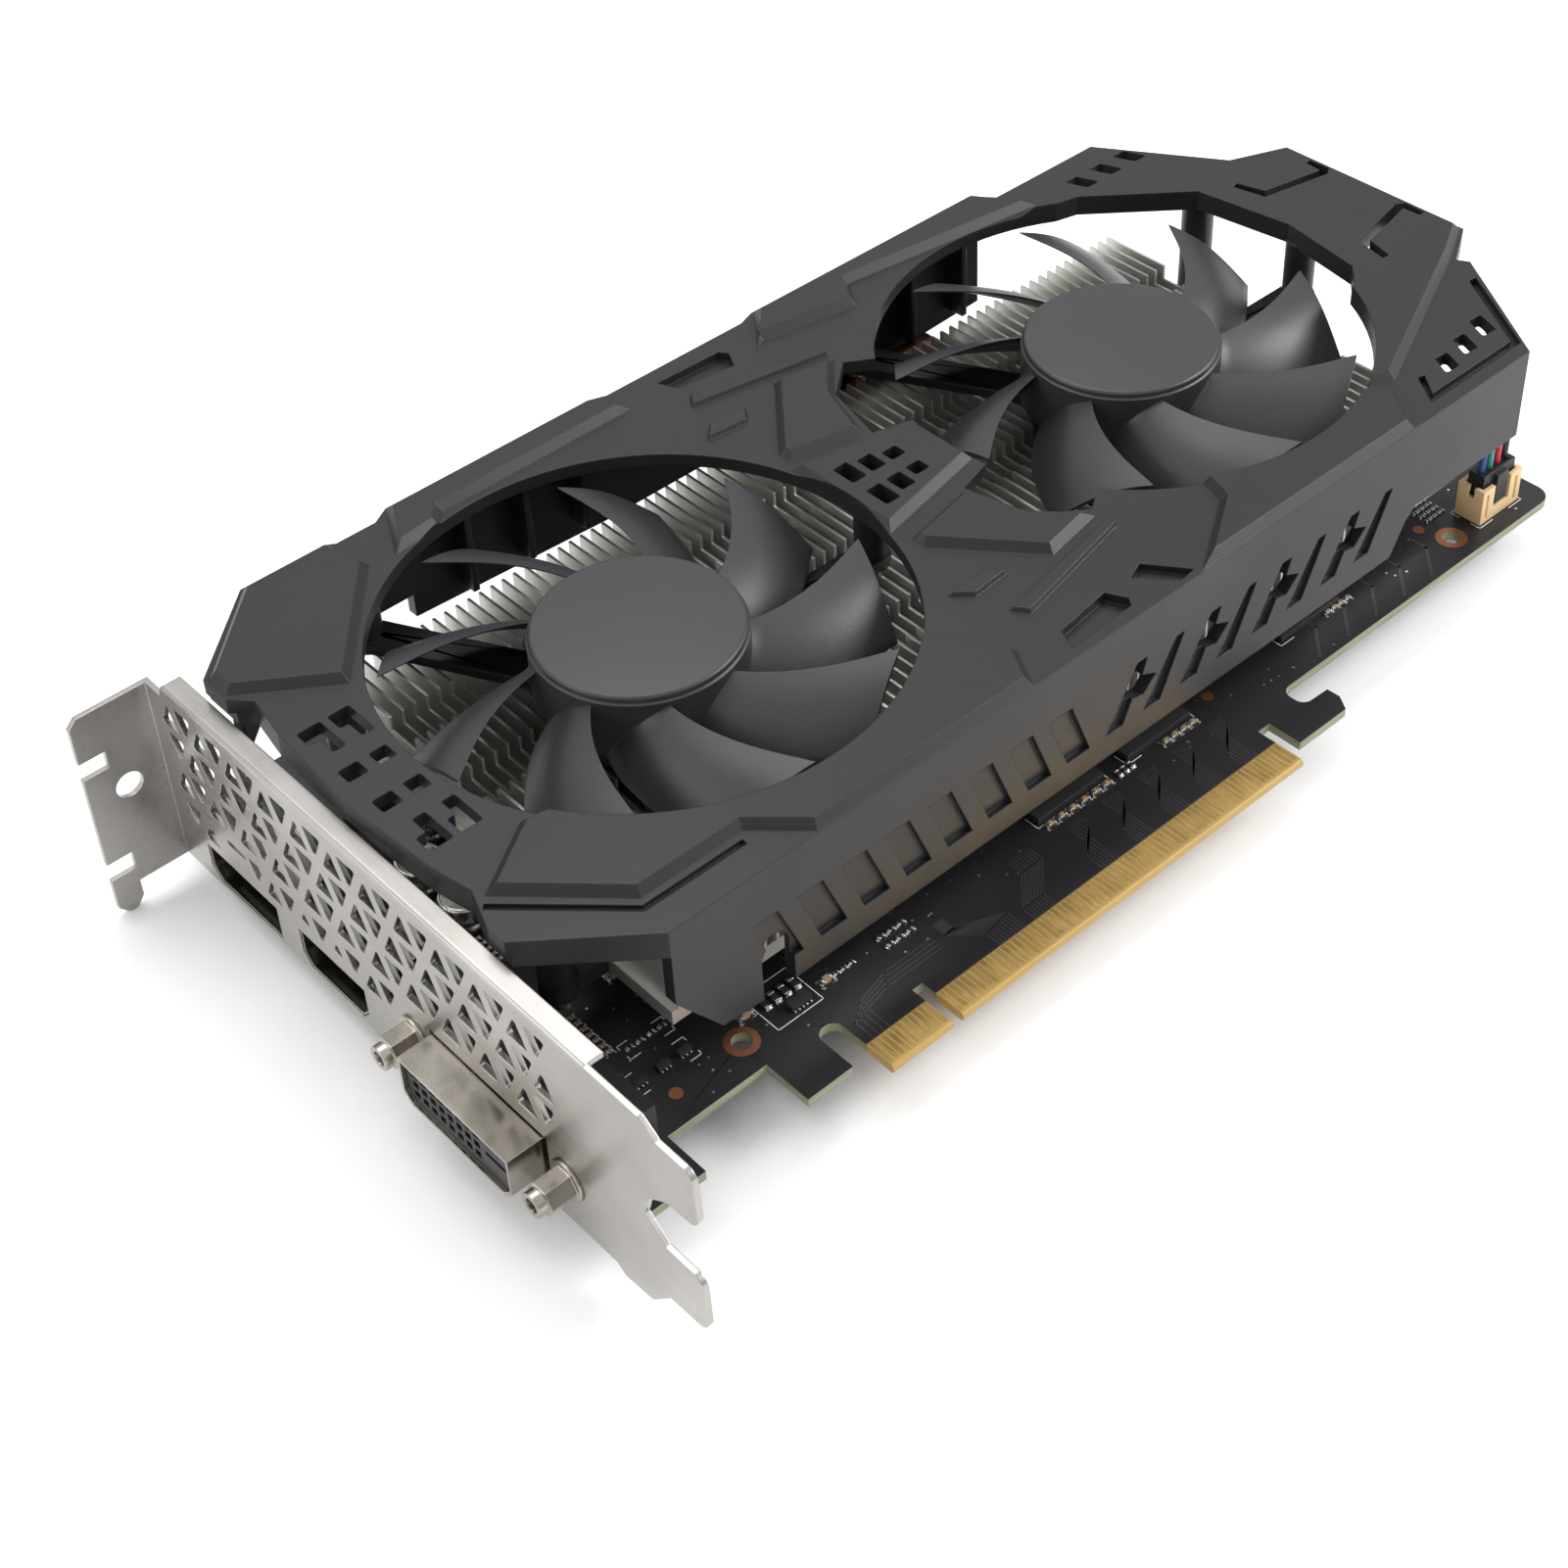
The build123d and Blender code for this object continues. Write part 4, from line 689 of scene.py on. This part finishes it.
def end_capped_chip(kit, low, high, cap_share):
    """Ceramic body with two plated ends and a small solder wedge at each end."""
    long_axis = 0 if high[0] - low[0] >= high[1] - low[1] else 1
    length = high[long_axis] - low[long_axis]
    cap = cap_share * length
    inset = 0.04
    body_low = [low[0] + inset, low[1] + inset, low[2] + 0.03]
    body_high = [high[0] - inset, high[1] - inset, high[2] - inset]
    body_low[long_axis] = low[long_axis] + 0.5 * cap
    body_high[long_axis] = high[long_axis] - 0.5 * cap
    kit.box(body_low, body_high, 0)
    for end in (0, 1):
        cap_low = list(low)
        cap_high = list(high)
        if end == 0:
            cap_high[long_axis] = low[long_axis] + cap
        else:
            cap_low[long_axis] = high[long_axis] - cap
        kit.box(cap_low, cap_high, 1)
        pad_low = list(cap_low)
        pad_high = list(cap_high)
        pad_high[2] = low[2] + SOLDER_HEIGHT
        if end == 0:
            pad_low[long_axis] -= SOLDER_REACH
        else:
            pad_high[long_axis] += SOLDER_REACH
        kit.box(pad_low, pad_high, 1)


def leaded_chip(kit, low, high, pitch):
    """Moulded package with flat leads along its two long sides."""
    long_axis = 0 if high[0] - low[0] >= high[1] - low[1] else 1
    short_axis = 1 - long_axis
    body_low = [low[0], low[1], low[2] + 0.08]
    body_high = list(high)
    body_low[short_axis] += LEAD_LENGTH
    body_high[short_axis] -= LEAD_LENGTH
    kit.box(body_low, body_high, 0)
    length = high[long_axis] - low[long_axis]
    count = max(2, int(length / pitch))
    for k in range(count):
        middle = low[long_axis] + length * (k + 0.5) / count
        lead_low = [0, 0, low[2]]
        lead_high = [0, 0, low[2] + LEAD_THICK]
        lead_low[long_axis] = middle - 0.18 * pitch
        lead_high[long_axis] = middle + 0.18 * pitch
        lead_low[short_axis] = low[short_axis]
        lead_high[short_axis] = high[short_axis]
        kit.box(lead_low, lead_high, 1)


def make_passives():
    for node, body, slot_name, cap_share in (
        ("chip_capacitors", CERAMIC, "ceramic_tan", 0.26),
        ("chip_resistors", CHIP, "chip_black", 0.30),
    ):
        kit = Kit()
        for low, high in solid_boxes(node):
            end_capped_chip(kit, low, high, cap_share)
        piece = kit.build(node + "_detailed", [body, SOLDER], "card", [node])
        soften(piece, 0.035, 1)
    kit = Kit()
    for low, high in solid_boxes("small_chips"):
        leaded_chip(kit, low, high, SMALL_CHIP_PITCH)
    piece = kit.build("small_chips_detailed", [CHIP, SOLDER], "card", ["small_chips"])
    soften(piece, 0.04, 1)
    kit = Kit()
    for low, high in solid_boxes("power_transistors"):
        leaded_chip(kit, low, high, TRANSISTOR_PITCH)
    piece = kit.build(
        "power_transistors_detailed", [CHIP, SOLDER], "card", ["power_transistors"]
    )
    soften(piece, 0.05, 1)


def make_cans():
    """Rolled can with a crimped waist and a shallow dished top."""
    kit = Kit()
    for low, high in solid_boxes("capacitor_cans"):
        x = (low[0] + high[0]) / 2
        y = (low[1] + high[1]) / 2
        r = (high[0] - low[0]) / 2
        z0 = low[2]
        z1 = high[2]
        profile = [
            (0.02, z0), (r - 0.25, z0), (r, z0 + 0.2), (r, z0 + 0.75), (r - 0.22, z0 + 0.95),
            (r - 0.22, z0 + 1.1), (r, z0 + 1.3), (r, z1 - 0.45), (r - 0.13, z1 - 0.13),
            (r - 0.45, z1), (r - 0.7, z1), (r - 0.85, z1 - 0.1), (0.02, z1 - 0.1),
        ]
        kit.lathe(x, y, profile, 48)
    piece = kit.build("capacitor_cans_detailed", [CAN], "card", ["capacitor_cans"])
    round_shading(piece, 50)


def make_contacts():
    """Gold contacts with rounded tips."""
    kit = Kit()
    for low, high in solid_boxes("edge_contacts"):
        corner = 0.22
        outline = [
            (low[0] + corner, low[1]), (high[0] - corner, low[1]), (high[0], low[1] + corner),
            (high[0], high[1]), (low[0], high[1]), (low[0], low[1] + corner),
        ]
        kit.prism(outline, low[2], high[2])
    kit.build("edge_contacts_detailed", [GOLD], "card", ["edge_contacts"])


def make_trace_bundles():
    """Copper tracks under the solder mask between the contacts and the cooler."""
    kit = Kit()
    above_contacts = 5.7

    def run(points, width=0.24):
        for start, end in zip(points, points[1:]):
            kit.line(start, end, width, BOARD_TOP, BOARD_TOP + TRACE_THICK)

    for k in range(9):
        lane = 0.62 * k
        squeezed = 9.4 + 0.35 * lane
        run([
            (13.6 + lane, above_contacts), (13.6 + lane, 8.2 + 0.2 * lane),
            (squeezed, 12.1 + 0.2 * lane - 0.1 * k), (squeezed, 14.6),
        ])
    for k in range(8):
        lane = 0.6 * k
        run([(20.6 + lane, above_contacts), (20.6 + lane, 8.0), (25.6 + lane, 13.0), (25.6 + lane, 15.6)])
    for group in range(5):
        for k in range(6):
            x = 34.6 + 7.6 * group + 0.62 * k
            rise = 8.6 + 0.5 * k
            run([(x, above_contacts), (x, rise), (x + 2.2, rise + 2.2), (x + 2.2, 14.8)])
    for k in range(4):
        y = 9.2 + 0.75 * k
        run([(-10.6 + k, above_contacts), (-10.6 + k, y), (-3.0 + 0.5 * k, y + 1.6), (7.6, y + 1.6)])
    for k in range(5):
        run([(92.0 + 7.0 * k, 13.2), (97.0 + 7.0 * k, 18.2), (97.0 + 7.0 * k, 21.0)], 0.5)
    kit.build("board_tracks", [TRACE], "card")


VIA_COUNT = 190
VIA_RADIUS = 0.2
VIA_SIDES = 10
VIA_CLEARANCE = 0.9
VIA_PROUD = 0.015
VIA_AREA_X = (-40.0, 148.0)
VIA_AREA_Y = (12.9, 40.0)


def make_vias():
    """Small plated holes scattered between the parts."""
    dice = random.Random(7)
    taken = []
    for node in (
        "chip_capacitors", "chip_resistors", "small_chips", "memory_chips", "capacitor_bases", "fan_header",
        "copper_rings",
    ):
        taken += solid_boxes(node)
    kit = Kit()
    count = 0
    while count < VIA_COUNT:
        x = dice.uniform(*VIA_AREA_X)
        y = dice.uniform(*VIA_AREA_Y)
        if any(
            low[0] - VIA_CLEARANCE < x < high[0] + VIA_CLEARANCE
            and low[1] - VIA_CLEARANCE < y < high[1] + VIA_CLEARANCE
            for low, high in taken
        ):
            continue
        ring = []
        for k in range(VIA_SIDES):
            a = 2 * math.pi * k / VIA_SIDES
            ring.append((x + VIA_RADIUS * math.cos(a), y + VIA_RADIUS * math.sin(a)))
        kit.prism(ring, BOARD_TOP, BOARD_TOP + VIA_PROUD)
        count += 1
    kit.build("board_vias", [SOLDER], "card")


def make_silkscreen():
    """White outlines and corner marks round the parts, with no lettering."""
    kit = Kit()
    top = BOARD_TOP + INK_THICK

    def frame_lines(x0, y0, x1, y1, share=1.0, width=0.16):
        """Rectangle; a share below one leaves only the corners."""
        corners = [(x0, y0), (x1, y0), (x1, y1), (x0, y1), (x0, y0)]
        for a, b in zip(corners, corners[1:]):
            dx = (b[0] - a[0]) * share / 2
            dy = (b[1] - a[1]) * share / 2
            kit.line(a, (a[0] + dx, a[1] + dy), width, BOARD_TOP, top)
            kit.line((b[0] - dx, b[1] - dy), b, width, BOARD_TOP, top)

    frame_lines(-18.9, 15.4, -10.7, 23.2)
    frame_lines(-39.9, 19.6, -29.0, 23.6, 0.35)
    frame_lines(-36.6, 25.4, -28.8, 28.4, 0.45)
    for node, gap, share in (
        ("memory_chips", 0.5, 0.4), ("power_chokes", 0.4, 0.6), ("fan_header", 0.4, 0.6),
        ("capacitor_bases", 0.35, 0.5),
    ):
        for low, high in solid_boxes(node):
            frame_lines(low[0] - gap, low[1] - gap, high[0] + gap, high[1] + gap, share)
    for low, high in solid_boxes("chip_capacitors"):
        frame_lines(low[0] - 0.32, low[1] - 0.28, high[0] + 0.32, high[1] + 0.28, 0.3, 0.09)
    kit.build("silkscreen", [SILK], "card")


def make_inner_wall():
    """Inner wall of the shroud behind the left fan, and stiffening ribs along the far side."""
    kit = Kit()
    wall_top = 33.4
    wall_low = 21.0
    corners = [(-11.0, 104.6), (-36.5, 104.6), (-49.8, 92.6)]
    for start, end in zip(corners, corners[1:]):
        kit.line(start, end, 1.4, wall_low, wall_top)
    rib_low = wall_low - 3.0
    for x in (-30.0, -21.0, -3.0, 8.0, 19.0, 66.0, 78.0, 90.0, 102.0):
        kit.line((x, 101.6), (x, 104.9), 1.2, rib_low, wall_top)
    piece = kit.build("shroud_inner_ribs", [SHROUD], "card")
    soften(piece, 0.2)


make_inner_wall()
make_passives()
make_cans()
make_contacts()
make_trace_bundles()
make_vias()
make_silkscreen()


# ------------------------------------------------------------------ floor and light
def make_floor():
    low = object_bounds()[0]
    mesh = bpy.data.meshes.new("floor")
    size = 3.0
    z = low.z - 0.2 * MM
    corners = [(-size, -size, z), (size, -size, z), (size, size, z), (-size, size, z)]
    mesh.from_pydata(corners, [], [(0, 1, 2, 3)])
    mesh.materials.append(floor_material())
    floor = bpy.data.objects.new("floor", mesh)
    scene.collection.objects.link(floor)


def area_light(name, place, target, width, height, power):
    data = bpy.data.lights.new(name, "AREA")
    data.shape = "RECTANGLE"
    data.size = width
    data.size_y = height
    data.energy = power
    light = bpy.data.objects.new(name, data)
    light.location = place
    light.rotation_euler = (Vector(target) - Vector(place)).to_track_quat("-Z", "Y").to_euler()
    scene.collection.objects.link(light)


def make_sky():
    """White overhead, greyer towards the horizon."""
    world = bpy.data.worlds.new("world")
    world.use_nodes = True
    tree = world.node_tree
    background = tree.nodes["Background"]
    direction = tree.nodes.new("ShaderNodeTexCoord")
    split = tree.nodes.new("ShaderNodeSeparateXYZ")
    tree.links.new(direction.outputs["Generated"], split.inputs["Vector"])
    height = tree.nodes.new("ShaderNodeMapRange")
    height.inputs["From Min"].default_value = 0.0
    height.inputs["From Max"].default_value = 0.55
    height.inputs["To Min"].default_value = 0.40
    height.inputs["To Max"].default_value = 0.95
    tree.links.new(split.outputs["Z"], height.inputs["Value"])
    tree.links.new(height.outputs["Result"], background.inputs["Strength"])
    background.inputs["Color"].default_value = (1.0, 1.0, 1.0, 1.0)
    scene.world = world


def make_light():
    middle = (0.05, 0.06, 0.02)
    area_light("key", (0.75, -0.45, 0.65), middle, 0.5, 0.4, 7.0)
    area_light("low_strip", (0.95, -0.40, 0.34), middle, 0.7, 0.22, 2.6)
    area_light("overhead", (0.10, 0.45, 1.0), middle, 0.9, 0.6, 5.0)
    area_light("left", (-0.75, 0.35, 0.40), middle, 0.6, 0.5, 2.0)


make_sky()
make_floor()
make_light()
scene.view_settings.view_transform = "Standard"
